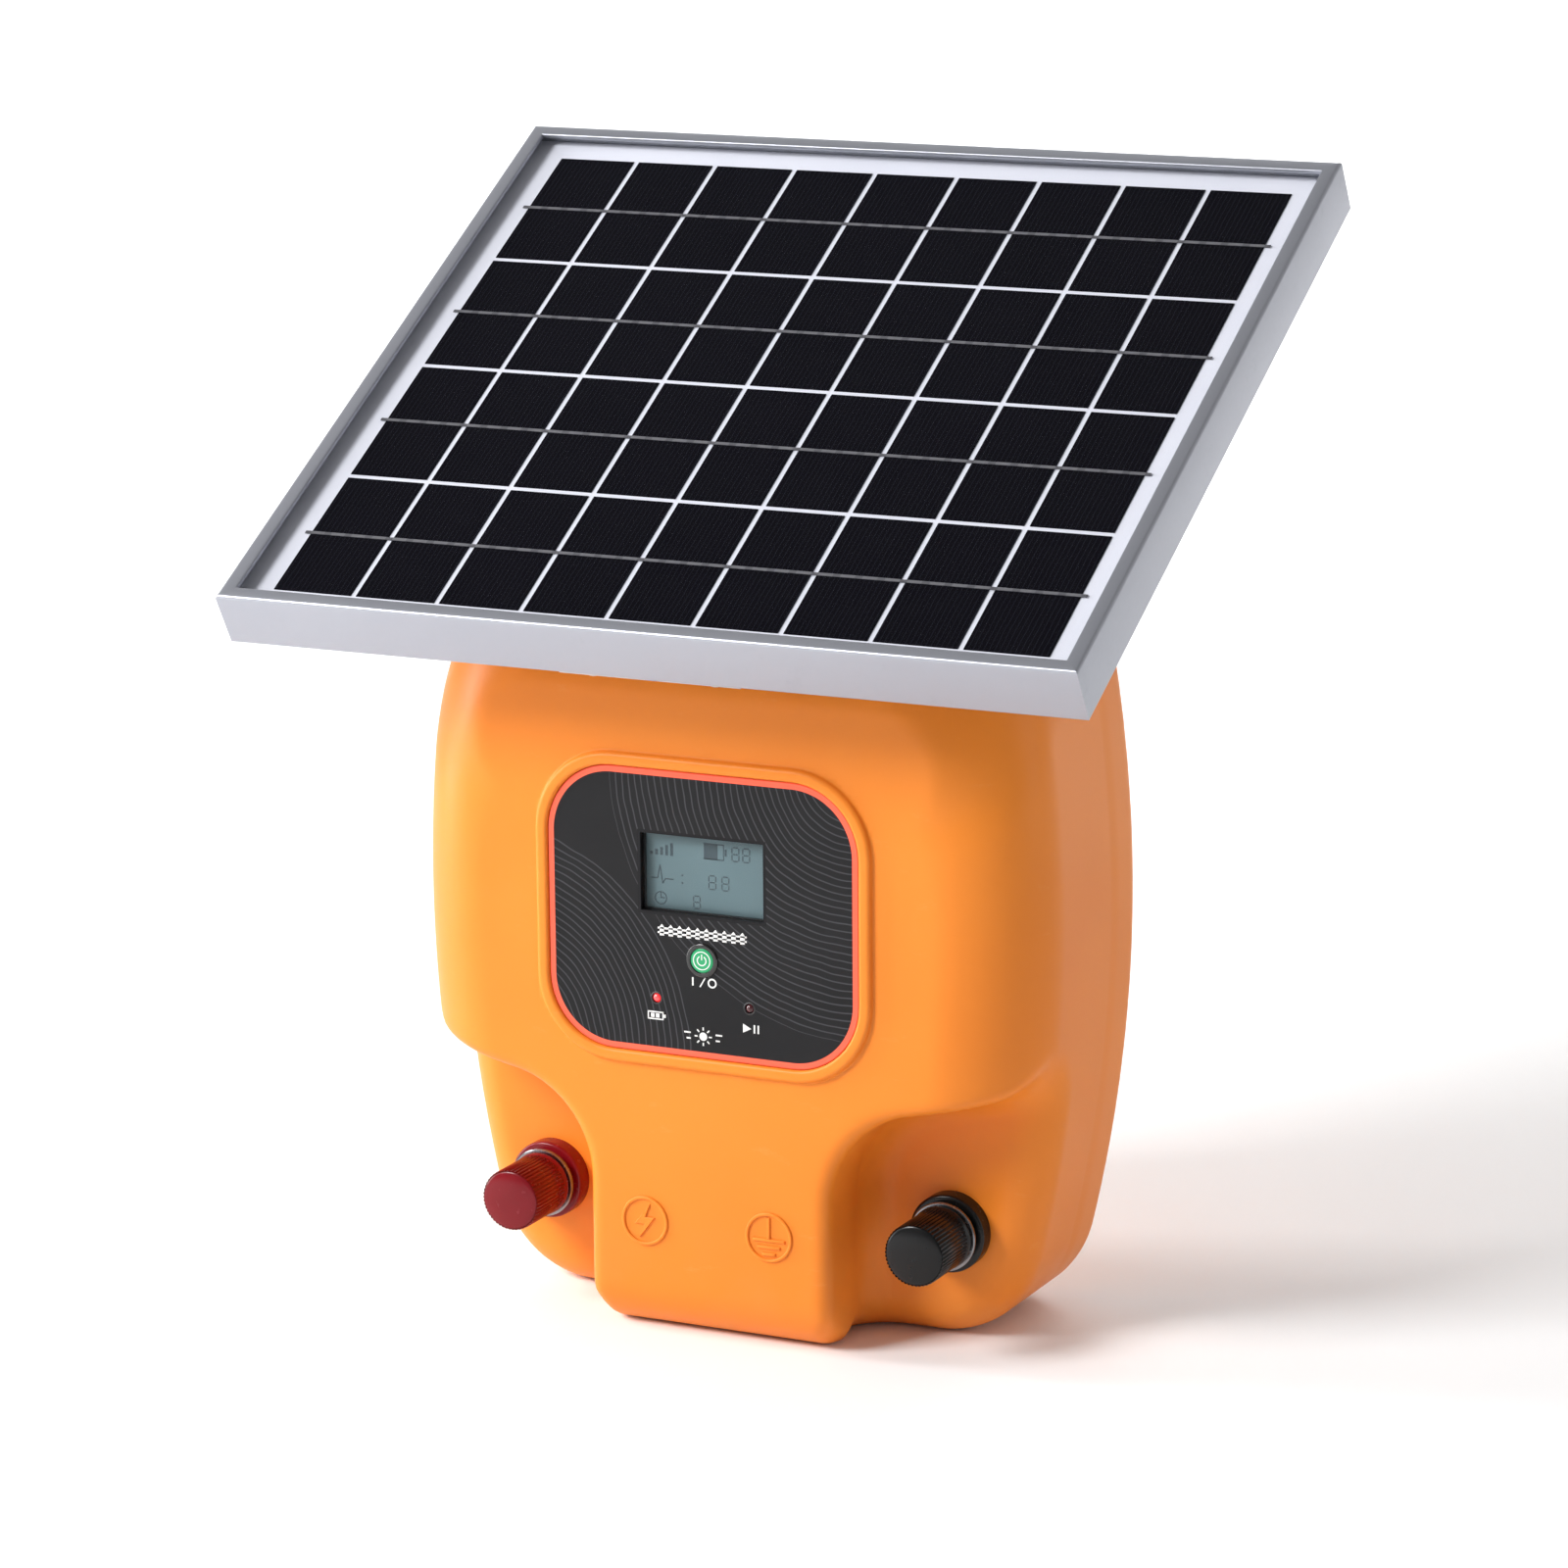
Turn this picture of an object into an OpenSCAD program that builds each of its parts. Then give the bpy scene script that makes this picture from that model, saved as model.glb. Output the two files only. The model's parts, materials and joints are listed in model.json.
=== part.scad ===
// Solar fence energizer: a two-shell housing with two terminals under its lower corners
// and a framed solar panel on a friction hinge on top.
// Millimetres, +Z up, front towards -Y. The origin is the middle of the flat base.

/* [Housing] */
// Width at the widest point
shell_w = 210; // [200:1:220]
// Height of the housing
shell_h = 260; // [256:1:270]
// Depth from the label rim to the back
shell_d = 90; // [88:1:96]
// Wall thickness
wall = 2.8; // [2.4:0.1:3.2]
// Radius of the bowed sides
side_bow = 440; // [400:10:600]
// Height of the widest point
bow_z = 132; // [120:1:140]
// Radius of the two lower corners in the front view
low_corner = 35; // [30:1:40]
// Radius of the two upper corners in the front view
high_corner = 40; // [32:1:46]
// Rounding of the vertical front edges
side_round = 30; // [26:1:32]
// Rounding of the lower front edge
base_round = 16; // [12:1:20]
// Rounding of the back edges
back_round = 6; // [4:0.5:8]
// Slope of the brow under the panel, in degrees
brow_slope = 40; // [36:1:42]
// Depth position where the brow meets the flat top
brow_y = 16; // [14:1:18]
// Depth position of the joint between the two shells
seam_y = 22; // [20:0.5:23]

/* [Terminal corners] */
// Distance of each terminal from the middle
post_x = 68.5; // [66:0.5:72]
// Height of the terminals
post_z = 36; // [32:1:40]
// Depth position of the floor of each corner
floor_y = -13; // [-15:0.5:-11]
// Half width of the tongue between the corners
tongue_half = 40.5; // [38:0.5:42]
// Radius of the shoulder over each corner
shoulder_r = 32; // [28:1:34]
// Slope of the ceiling of each corner, in degrees
ceiling_slope = 12; // [8:1:14]

/* [Terminals] */
// Diameter of the threaded stud
stud_d = 6; // [5:0.5:6]
// Diameter of the knurled knob
knob_d = 19.5; // [18:0.5:21]
// Length of the knob
knob_len = 20; // [18:0.5:20.5]
// Number of ribs around the knob
knob_ribs = 50; // [36:2:60]
// Diameter of the insulating collar
collar_d = 24.5; // [23:0.5:26]
// Space kept between pieces that move against each other
gap = 0.3; // [0.25:0.05:0.3]
// Radial clearance of a shaft that turns or slides in its hole
fit = 0.05; // [0.02:0.01:0.08]

/* [Control label] */
// Height of the middle of the label
label_z = 134; // [130:1:138]
// Width of the label
label_w = 103.6; // [100:0.2:106]
// Height of the label
label_h = 88; // [84:0.5:90]
// Corner radius of the label
label_r = 21.8; // [18:0.2:24]
// Height of the rim around the label over the front face
rim_h = 2; // [1.5:0.1:2.5]
// Width of the rim around the label
rim_w = 4.2; // [3.5:0.1:5]
// Width of the display opening
lcd_w = 41; // [38:0.5:43]
// Height of the display opening
lcd_h = 24; // [22:0.5:25]
// Height of the middle of the display
lcd_z = 146.2; // [145:0.1:148]
// Height of the push button
button_z = 120.5; // [119:0.5:122]
// Diameter of the push button
button_d = 7.6; // [7:0.1:8]
// Height of the two lamps
lamp_z = 107.2; // [105:0.1:109]
// Distance of each lamp from the middle
lamp_x = 15.6; // [14:0.1:17]

/* [Solar panel] */
// Width of the panel
panel_w = 280; // [270:1:290]
// Length of the panel from its lower to its upper edge
panel_l = 240; // [230:1:250]
// Depth of the panel frame
frame_h = 18; // [17:0.5:18]
// Wall of the frame profile
frame_t = 1.5; // [1.2:0.1:1.8]
// Width of the lip over the glass
lip_w = 5; // [4:0.5:7]
// Width of the flange at the back of the frame
flange_w = 12; // [10:0.5:14]
// Number of cell columns
cell_cols = 9; // [6:1:10]
// Number of cell rows
cell_rows = 4; // [3:1:5]
// Gap between cells
cell_gap = 1.8; // [1.5:0.1:2.5]

/* [Tilt hinge] */
// Tilt of the panel as stored, in degrees
tilt = 30; // [20:1:38]
// Depth position of the hinge pin
pivot_y = 27.5; // [26:0.5:29]
// Height of the hinge pin over the top of the housing
pivot_up = 8; // [7.8:0.1:9]
// Diameter of the hinge bolt
bolt_d = 5; // [4:0.5:5]
// Distance from the hinge pin to the face of the panel
pivot_to_face = 24.2; // [24:0.1:26]
// Half width over the outer ears of the bracket
ear_x = 32; // [28:1:36]
// Thickness of the bracket steel
steel = 2; // [1.5:0.1:2]

/* [Hidden] */

// housing
rim_y = -shell_d / 2 - 0.5;
face_y = rim_y + rim_h;
back_y = rim_y + shell_d;
brow_round = 6;
corner_ease = 0.7;
corner_min = 12;
arc_steps = 8;
side_steps = 8;
front_rings = [face_y, face_y + 0.4, face_y + 2, face_y + 5.5, face_y + 10.5, face_y + 16.5,
               face_y + 23.5, face_y + side_round, brow_y, seam_y];
front_inner = [face_y + wall, face_y + wall + 0.6, face_y + 6, face_y + 10.5, face_y + 16.5,
               face_y + 23.5, face_y + side_round, brow_y, seam_y];
rear_rings = [seam_y, back_y - back_round, back_y - 3.5, back_y - 1.5, back_y - 0.4, back_y];
rear_inner = [seam_y, back_y - back_round, back_y - wall - 0.8, back_y - wall];
inner_y = face_y + wall;
back_inner = back_y - wall;
rib_t = 2.6;
boss_r = 5;
// places of the case screws, as [x, z, end of the front boss, direction of its rib]
case_holes = [[92, 118, -5, "side"], [86, 205, 4, "side"], [50, 12, floor_y + wall - 0.5, "down"]];
case_screw_r = 1.55;
case_screw_head_r = 3.4;
case_screw_in = 14;
case_head_y = 36;
insert_x = 40;
insert_z = [80, 180];
insert_r = 3.2;
insert_hole_r = 2.1;
insert_len = 9.5;

// terminal corners
shoulder_x = tongue_half + shoulder_r;
shoulder_z = 47;
past = 25;
shoulder_steps = 10;
stud_r = stud_d / 2;
collar_y = floor_y - 5.8;
neck_y = collar_y - 1.4;
washer_t = 1.4;
washer_y = neck_y - gap - washer_t;
knob_y = washer_y - gap;
skirt_t = 1.1;
knob_end = knob_y - skirt_t - knob_len;
nut_t = 5;
strip_t = 1.2;
strip_w = 8;

// label and controls
label_t = 1;
seat_y = face_y + 0.1;
label_front = seat_y - label_t;
bezel_r = 4.6;
button_r = button_d / 2;
lamp_r = 1.5;
display_board_y = -35.3;
board_t = 1.6;
board_hole_x = 42;
board_hole_z = 34;
small_screw_r = 1.05;

// inner parts
main_board_y = 29.4;
main_half = 74;
main_low = 95;
main_high = 205;
main_hole_x = 62;
main_holes_z = [120, 196];
cell_r = 9.2;
cell_len = 65;
cell_pitch = 19.5;
cell_z = 42;
battery_y = 31;

// panel, measured down from its face
slot_top = frame_t;
glass_t = 3.2;
ribbon_n = slot_top + glass_t + 0.05;
cells_n = ribbon_n + 0.2;
sheet_n = cells_n + 0.3;
slot_low = 6;
pane_w = panel_w - 2 * frame_t - 0.4;
pane_l = panel_l - 2 * frame_t - 0.4;
field_w = 253;
field_l = 218;
hinge_z = shell_h + pivot_up;
inner_ear_r = 5.5;
outer_ear_r = 7;
frame_screw_x = 20;
frame_screw_v = 7;
frame_screw_r = 1.5;
base_screw_x = [-20, 0, 20];
base_screw_y = 31;
base_screw_r = 1.9;
base_screw_in = 7;
gland_x = 50;
gland_y = 32;
gland_r = 6;

// ---------------------------------------------------------------- shared shapes

// How far an edge of radius r has pulled in, d past the start of its rounding
function pulled_in(d, r) = d <= 0 ? 0 : r - sqrt(max(0, r * r - d * d));

// Half width of the bowed outline at height z
function bow(z) = shell_w / 2 - (z - bow_z) * (z - bow_z) / (2 * side_bow);

function back_pull(y, w) = pulled_in(y - back_y + back_round, back_round - w);
function side_inset(y, w) = w + pulled_in(face_y + side_round - y, side_round - w) + back_pull(y, w);
function base_inset(y, w) = w + pulled_in(face_y + base_round - y, base_round - w) + back_pull(y, w);
function top_height(y, w) = min(shell_h, shell_h - (brow_y - y) * tan(brow_slope)) - w
    - pulled_in(face_y + brow_round - y, brow_round - w) - back_pull(y, w);

// Right half of the housing outline at depth y, set in by w, from the base up to the top
function half_outline(y, w) = let(
        s = side_inset(y, w), b = base_inset(y, w), t = top_height(y, w),
        rl = max(corner_min, low_corner - corner_ease * s),
        rh = max(corner_min, high_corner - corner_ease * s),
        guess_l = atan((bow_z - b - rl) / side_bow),
        low = atan((bow_z - b - rl + rl * sin(guess_l)) / side_bow),
        guess_h = atan((t - rh - bow_z) / side_bow),
        high = atan((t - rh + rh * sin(guess_h) - bow_z) / side_bow),
        z_low = b + rl - rl * sin(low), z_high = t - rh + rh * sin(high))
    concat(
        [for (i = [0 : arc_steps]) let(a = -90 + (90 - low) * i / arc_steps)
            [bow(z_low) - s - rl * cos(low) + rl * cos(a), b + rl + rl * sin(a)]],
        [for (i = [1 : side_steps - 1]) let(z = z_low + (z_high - z_low) * i / side_steps)
            [bow(z) - s, z]],
        [for (i = [0 : arc_steps]) let(a = high + (90 - high) * i / arc_steps)
            [bow(z_high) - s - rh * cos(high) + rh * cos(a), t - rh + rh * sin(a)]]);

function outline(y, w) = let(half = half_outline(y, w), n = len(half))
    concat(half, [for (i = [n - 1 : -1 : 0]) [-half[i][0], half[i][1]]]);

// Rounded rectangle in the front view, as [x, z] points about [0, z]
function round_rect(w, h, r, z, steps = 8) = [
    for (corner = [0 : 3]) for (i = [0 : steps])
        let(a = 90 * corner + 90 * i / steps, sz = corner < 2 ? 1 : -1,
            sx = (corner == 0 || corner == 3) ? 1 : -1)
        [sx * (w / 2 - r) + r * cos(a), z + sz * (h / 2 - r) + r * sin(a)]];

// Right terminal corner in the front view, grown by g
function corner_area(g) = let(r = shoulder_r + g, stop = 90 + ceiling_slope,
        ex = shoulder_x + r * cos(stop), ez = shoulder_z + r * sin(stop), far = shell_w / 2 + past)
    concat([[shoulder_x - r, -past]],
        [for (i = [0 : shoulder_steps]) let(a = 180 - (180 - stop) * i / shoulder_steps)
            [shoulder_x + r * cos(a), shoulder_z + r * sin(a)]],
        [[far, ez + (far - ex) * tan(ceiling_slope)], [far, -past]]);

// Solid through a row of outlines along the depth
module loft(depths, w) {
    rings = [for (y = depths) outline(y, w)];
    n = len(rings[0]);
    m = len(depths);
    points = [for (j = [0 : m - 1]) for (p = rings[j]) [p[0], depths[j], p[1]]];
    skin = [for (j = [0 : m - 2]) for (i = [0 : n - 1]) for (side = [0, 1])
        let(a = j * n + i, b = j * n + (i + 1) % n)
        side == 0 ? [a, b, a + n] : [b, b + n, a + n]];
    ends = [[for (i = [n - 1 : -1 : 0]) i], [for (i = [0 : n - 1]) (m - 1) * n + i]];
    polyhedron(points, concat(skin, ends));
}

// Flat plate from y0 to y1 with a front-view outline
module plate(points, y0, y1) {
    translate([0, y1, 0]) rotate([90, 0, 0]) linear_extrude(y1 - y0) polygon(points);
}

// Round bar along the depth
module rod(x, z, y0, y1, r, steps = 48) {
    translate([x, y0, z]) rotate([-90, 0, 0]) cylinder(h = y1 - y0, r = r, $fn = steps);
}

module box(low, high) {
    translate(low) cube(high - low);
}

module both() {
    children();
    mirror([1, 0, 0]) children();
}

// Things given in the panel's own frame: X across, Y up the slope, Z out of its face
module on_panel() {
    translate([0, pivot_y, hinge_z]) rotate([tilt, 0, 0]) translate([0, 0, pivot_to_face]) children();
}

module pan_screw(x, z, head_y, tip_y, r, head_r, head_t) {
    dir = head_y > tip_y ? 1 : -1;
    difference() {
        union() {
            rod(x, z, min(head_y, tip_y), max(head_y, tip_y), r);
            rod(x, z, min(head_y, head_y + dir * head_t), max(head_y, head_y + dir * head_t), head_r);
        }
        for (turn = [0, 90]) translate([x, head_y + dir * head_t, z]) rotate([0, turn, 0])
            cube([head_r * 1.2, head_t, head_r * 0.28], center = true);
    }
}

// ---------------------------------------------------------------- housing

module corner_cut(g, depth) {
    both() plate(corner_area(g), rim_y - past, depth);
}

module case_bosses() {
    both() for (h = case_holes) {
        rod(h[0], h[1], h[2], seam_y, boss_r);
        if (h[3] == "side") box([h[0], h[2], h[1] - rib_t / 2], [bow(h[1]) - wall + 1, seam_y, h[1] + rib_t / 2]);
        else box([h[0] - rib_t / 2, h[2], wall - 1], [h[0] + rib_t / 2, seam_y, h[1]]);
    }
}

// Bolt and earth signs stand proud of the tongue, each in a ring
module sign_ring(x) {
    difference() {
        rod(x, post_z, face_y - 0.6, face_y + 0.4, 7.75);
        rod(x, post_z, face_y - 1, face_y + 0.6, 6.9);
    }
}

module signs() {
    sign_ring(-21);
    sign_ring(21);
    plate([for (p = [[1.6, 5], [-3.2, -0.9], [-0.5, -0.9], [-1.6, -5], [3.2, 1.1], [0.5, 1.1]])
        [p[0] - 21, p[1] + post_z]], face_y - 0.6, face_y + 0.4);
    box([20.6, face_y - 0.6, post_z + 0.4], [21.4, face_y + 0.4, post_z + 5.2]);
    for (k = [0 : 2]) box([21 - 4.6 + 1.5 * k, face_y - 0.6, post_z - 0.4 - 1.9 * k],
                          [21 + 4.6 - 1.5 * k, face_y + 0.4, post_z + 0.4 - 1.9 * k]);
}

module front_shell() {
    color("orange") difference() {
        union() {
            difference() {
                loft(front_rings, 0);
                corner_cut(0, floor_y);
                difference() {
                    loft(front_inner, wall);
                    corner_cut(wall, floor_y + wall);
                }
            }
            plate(round_rect(label_w + 2 * rim_w, label_h + 2 * rim_w, label_r + rim_w, label_z),
                  rim_y, face_y + 1);
            case_bosses();
            both() for (s = [-1, 1])
                rod(board_hole_x, label_z + s * board_hole_z, inner_y - 0.5, display_board_y, 3);
            signs();
        }
        plate(round_rect(label_w + 0.4, label_h + 0.4, label_r + 0.2, label_z), rim_y - 1, seat_y);
        box([-lcd_w / 2 - 1, rim_y, lcd_z - lcd_h / 2 - 1],
            [lcd_w / 2 + 1, inner_y + 1, lcd_z + lcd_h / 2 + 1]);
        rod(0, button_z, rim_y, inner_y + 1, bezel_r + fit);
        both() rod(lamp_x, lamp_z, rim_y, inner_y + 1, lamp_r + 0.1);
        both() for (s = [-1, 1])
            rod(board_hole_x, label_z + s * board_hole_z, inner_y - 0.8, display_board_y + 1,
                small_screw_r + fit);
        both() rod(post_x, post_z, floor_y - 1, floor_y + wall + 1, stud_r + fit);
        both() for (h = case_holes)
            rod(h[0], h[1], seam_y - case_screw_in - 2, seam_y + 1, case_screw_r + fit);
    }
}

module rear_shell() {
    color("darkorange") difference() {
        union() {
            difference() {
                loft(rear_rings, 0);
                loft(rear_inner, wall);
            }
            both() for (h = case_holes) rod(h[0], h[1], seam_y, back_y - 1, boss_r);
            both() for (z = main_holes_z) rod(main_hole_x, z, main_board_y + board_t, back_inner + 1, 3.5);
            both() for (z = insert_z) rod(insert_x, z, back_y - insert_len - 1.5, back_inner + 1, boss_r);
            box([-ear_x, seam_y + 2, shell_h - 9], [ear_x, back_y - back_round, shell_h - 1]);
        }
        both() for (h = case_holes) {
            rod(h[0], h[1], seam_y - 1, back_y + 1, case_screw_r + 0.35);
            rod(h[0], h[1], case_head_y, back_y + 1, case_screw_head_r + 0.4);
        }
        both() for (z = main_holes_z) rod(main_hole_x, z, main_board_y, back_inner - 1, 1.3);
        both() for (z = insert_z) rod(insert_x, z, back_y - insert_len, back_y + 1, insert_r);
        for (x = base_screw_x) translate([x, base_screw_y, shell_h - base_screw_in - 0.5])
            cylinder(h = base_screw_in + 3, r = base_screw_r + fit, $fn = 48);
        translate([gland_x, gland_y, shell_h - 6]) cylinder(h = 10, r = gland_r + 0.1, $fn = 64);
        difference() {
            plate(outline(seam_y, 0.9), seam_y - 1, seam_y + 1.4);
            plate(outline(seam_y, 1.9), seam_y - 2, seam_y + 2);
        }
    }
}

module case_gasket() {
    color("dimgray") difference() {
        plate(outline(seam_y, 1), seam_y, seam_y + 1.3);
        plate(outline(seam_y, 1.8), seam_y - 1, seam_y + 2);
    }
}

module case_screws() {
    color("silver") both() for (h = case_holes)
        pan_screw(h[0], h[1], case_head_y, seam_y - case_screw_in + 2, case_screw_r, case_screw_head_r, 2.4);
}

module mount_inserts() {
    color("goldenrod") both() for (z = insert_z) difference() {
        rod(insert_x, z, back_y - insert_len, back_y, insert_r);
        rod(insert_x, z, back_y - insert_len - 1, back_y + 1, insert_hole_r);
    }
}

// ---------------------------------------------------------------- label and controls

module face_label() {
    color([0.1, 0.1, 0.11]) difference() {
        plate(round_rect(label_w, label_h, label_r, label_z), label_front, seat_y);
        box([-lcd_w / 2, rim_y, lcd_z - lcd_h / 2], [lcd_w / 2, inner_y, lcd_z + lcd_h / 2]);
        rod(0, button_z, rim_y, inner_y, bezel_r + fit);
        both() rod(lamp_x, lamp_z, rim_y, inner_y, lamp_r + 0.1);
    }
}

module display_window() {
    color([0.7, 0.8, 0.85, 0.5])
        box([-lcd_w / 2 - 0.95, seat_y, lcd_z - lcd_h / 2 - 0.95],
            [lcd_w / 2 + 0.95, seat_y + 1.4, lcd_z + lcd_h / 2 + 0.95]);
}

module display_module() {
    color([0.45, 0.56, 0.6])
        box([-24, inner_y + 0.2, lcd_z - 16], [24, display_board_y, lcd_z + 16]);
}

module display_board() {
    color("darkgreen") difference() {
        box([-48, display_board_y, label_z - 38], [48, display_board_y + board_t, label_z + 38]);
        both() for (s = [-1, 1])
            rod(board_hole_x, label_z + s * board_hole_z, display_board_y - 1, display_board_y + 3, 1.4);
    }
}

module display_board_screws() {
    color("silver") both() for (s = [-1, 1])
        pan_screw(board_hole_x, label_z + s * board_hole_z, display_board_y + board_t, inner_y + 1,
                  small_screw_r, 2.3, 1.5);
}

module button_bezel() {
    color([0.12, 0.12, 0.13]) difference() {
        union() {
            rod(0, button_z, label_front, inner_y, bezel_r);
            rod(0, button_z, label_front - 0.6, label_front, bezel_r + 0.7);
        }
        rod(0, button_z, rim_y - 1, inner_y + 1, button_r + fit);
    }
}

module power_button() {
    color("green") union() {
        rod(0, button_z, label_front - 0.5, inner_y + gap, button_r);
        rod(0, button_z, inner_y + gap, inner_y + gap + 0.6, button_r + 0.7);
        rod(0, button_z, inner_y + gap + 0.6, inner_y + 1.6, 1.5);
    }
}

module button_switch() {
    color([0.15, 0.15, 0.16]) union() {
        box([-3, display_board_y - 2, button_z - 3], [3, display_board_y, button_z + 3]);
        rod(0, button_z, display_board_y - 2.7, display_board_y - 2, 1.7);
    }
}

module lamp(x) {
    rod(x, lamp_z, label_front + lamp_r - 0.4, display_board_y - 1.5, lamp_r, 32);
    translate([x, label_front + lamp_r - 0.4, lamp_z]) sphere(r = lamp_r, $fn = 32);
    rod(x, lamp_z, display_board_y - 2.5, display_board_y - 1.5, lamp_r + 0.4, 32);
    for (s = [-0.8, 0.8]) rod(x + s, lamp_z, display_board_y - 1.6, display_board_y, 0.25, 16);
}

module power_lamp() {
    color("red") lamp(-lamp_x);
}

module run_lamp() {
    color([0.3, 0.1, 0.12]) lamp(lamp_x);
}

// ---------------------------------------------------------------- inside

module main_board() {
    color("seagreen") difference() {
        box([-main_half, main_board_y, main_low], [main_half, main_board_y + board_t, main_high]);
        both() for (z = main_holes_z) rod(main_hole_x, z, main_board_y - 1, main_board_y + 3, 1.7);
    }
}

module main_board_screws() {
    color("silver") both() for (z = main_holes_z)
        pan_screw(main_hole_x, z, main_board_y, back_inner - 2, 1.25, 2.8, 1.8);
}

// Heat sink, storage cylinders, relay and plugs of the charge controller
module board_components() {
    color([0.2, 0.2, 0.22]) {
        for (k = [0 : 4]) box([8 + 7 * k, main_board_y - 16, 104], [9.6 + 7 * k, main_board_y - 2, 134]);
        box([8, main_board_y - 2, 104], [37.6, main_board_y, 134]);
        for (x = [-46, -30, -14]) rod(x, 122, main_board_y - 20, main_board_y, 6.3);
        box([50, main_board_y - 15, 140], [66, main_board_y, 160]);
        box([-66, main_board_y - 8, 134], [-58, main_board_y, 150]);
        box([-20, main_board_y - 8, 98], [0, main_board_y, 106]);
    }
}

module discharge_capacitor() {
    color("royalblue") box([4, -2, 152], [46, main_board_y, 190]);
}

module transformer_core() {
    color([0.25, 0.25, 0.28]) difference() {
        box([-57, -3, 145], [-7, 21, 189]);
        box([-49, -4, 153], [-39, 22, 181]);
        box([-25, -4, 153], [-15, 22, 181]);
    }
}

module transformer_coil() {
    color("peru") difference() {
        box([-48.7, -9, 153.3], [-15.3, 26.8, 180.7]);
        box([-39.3, -3.3, 153], [-24.7, 21.3, 181]);
    }
}

module transformer_base() {
    color([0.12, 0.12, 0.12]) {
        box([-55, 26.8, 148], [-9, main_board_y, 186]);
    }
}

module battery_cells() {
    color("mediumseagreen") for (k = [-1 : 1])
        translate([0, battery_y, cell_z + k * cell_pitch]) rotate([0, 90, 0]) {
        translate([0, 0, -cell_len / 2]) cylinder(h = cell_len - 1.2, r = cell_r, $fn = 64);
        translate([0, 0, cell_len / 2 - 1.2]) cylinder(h = 1.2, r = 2.8, $fn = 32);
    }
}

module battery_tray() {
    color([0.13, 0.13, 0.14]) difference() {
        box([-37, battery_y - cell_r, cell_z - 31], [37, back_inner, cell_z + 31]);
        for (k = [-1 : 1]) {
            translate([-cell_len / 2 - 0.5, battery_y, cell_z + k * cell_pitch]) rotate([0, 90, 0])
                cylinder(h = cell_len + 1, r = cell_r + 0.2, $fn = 64);
            box([-cell_len / 2 - 0.5, 0, cell_z + k * cell_pitch - cell_r - 0.2],
                [cell_len / 2 + 0.5, battery_y, cell_z + k * cell_pitch + cell_r + 0.2]);
        }
    }
}

module battery_strap() {
    color("gray") difference() {
        box([-6, battery_y - cell_r - 1.4, cell_z - 32.4], [6, back_inner, cell_z + 32.4]);
        box([-7, battery_y - cell_r - 0.2, cell_z - 31.2], [7, back_inner + 1, cell_z + 31.2]);
    }
}

// ---------------------------------------------------------------- terminals

module collar(x) {
    difference() {
        union() {
            rod(x, post_z, collar_y, floor_y, collar_d / 2, 72);
            rod(x, post_z, neck_y, collar_y, 8.6, 72);
        }
        rod(x, post_z, neck_y - 1, floor_y + 1, stud_r + fit);
    }
}

module stud(x) {
    rod(x, post_z, knob_end + 3.5, 3, stud_r);
}

module clamp_washer(x) {
    difference() {
        rod(x, post_z, washer_y, washer_y + washer_t, 10.8, 72);
        rod(x, post_z, washer_y - 1, neck_y + 1, stud_r + fit);
    }
}

// Ribbed knob with a shallow dome and a smooth skirt, bored from its back
module knob(x) {
    rib = 0.35;
    r = knob_d / 2;
    star = [for (i = [0 : 2 * knob_ribs - 1]) let(a = 180 * i / knob_ribs, q = i % 2 == 0 ? r : r - rib)
        [x + q * cos(a), post_z + q * sin(a)]];
    difference() {
        union() {
            intersection() {
                plate(star, knob_end - 1, knob_y - skirt_t);
                translate([x, knob_end, post_z]) rotate([-90, 0, 0]) rotate_extrude($fn = 96)
                    polygon(concat([[0, 0]],
                        [for (k = [1 : 5]) [(r - 1) * k / 5, 1.1 * k * k / 25]],
                        [[r - 0.2, 2], [r, 3], [r + 0.1, knob_len + skirt_t], [0, knob_len + skirt_t]]));
            }
            rod(x, post_z, knob_y - skirt_t, knob_y, r + 0.2, 72);
        }
        rod(x, post_z, knob_end + 3, knob_y + 1, stud_r + fit);
    }
}

module stud_nut(x, y) {
    difference() {
        rod(x, post_z, y, y + nut_t, 5.8, 6);
        rod(x, post_z, y - 1, y + nut_t + 1, stud_r + fit);
    }
}

module nuts(x) {
    stud_nut(x, floor_y + wall);
    stud_nut(x, floor_y + wall + nut_t + strip_t);
}

// Copper strip from the stud up to the corner of the main board
module busbar(x) {
    y = floor_y + wall + nut_t;
    difference() {
        union() {
            rod(x, post_z, y, y + strip_t, 6.5);
            box([x - strip_w / 2, y, post_z], [x + strip_w / 2, y + strip_t, 112]);
            box([x - strip_w / 2, y, 112 - strip_t], [x + strip_w / 2, main_board_y, 112]);
            box([x - strip_w / 2, main_board_y - strip_t, 100], [x + strip_w / 2, main_board_y, 112]);
        }
        rod(x, post_z, y - 1, y + 3, stud_r + fit);
    }
}

module fence_collar() { color("darkred") collar(-post_x); }
module fence_stud() { color("silver") stud(-post_x); }
module fence_washer() { color("silver") clamp_washer(-post_x); }
module fence_knob() { color("firebrick") knob(-post_x); }
module fence_nuts() { color("goldenrod") nuts(-post_x); }
module fence_busbar() { color("peru") busbar(-post_x); }
module earth_collar() { color([0.08, 0.08, 0.09]) collar(post_x); }
module earth_stud() { color("silver") stud(post_x); }
module earth_washer() { color("silver") clamp_washer(post_x); }
module earth_knob() { color([0.06, 0.06, 0.07]) knob(post_x); }
module earth_nuts() { color("goldenrod") nuts(post_x); }
module earth_busbar() { color("peru") busbar(post_x); }

// ---------------------------------------------------------------- solar panel

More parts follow.
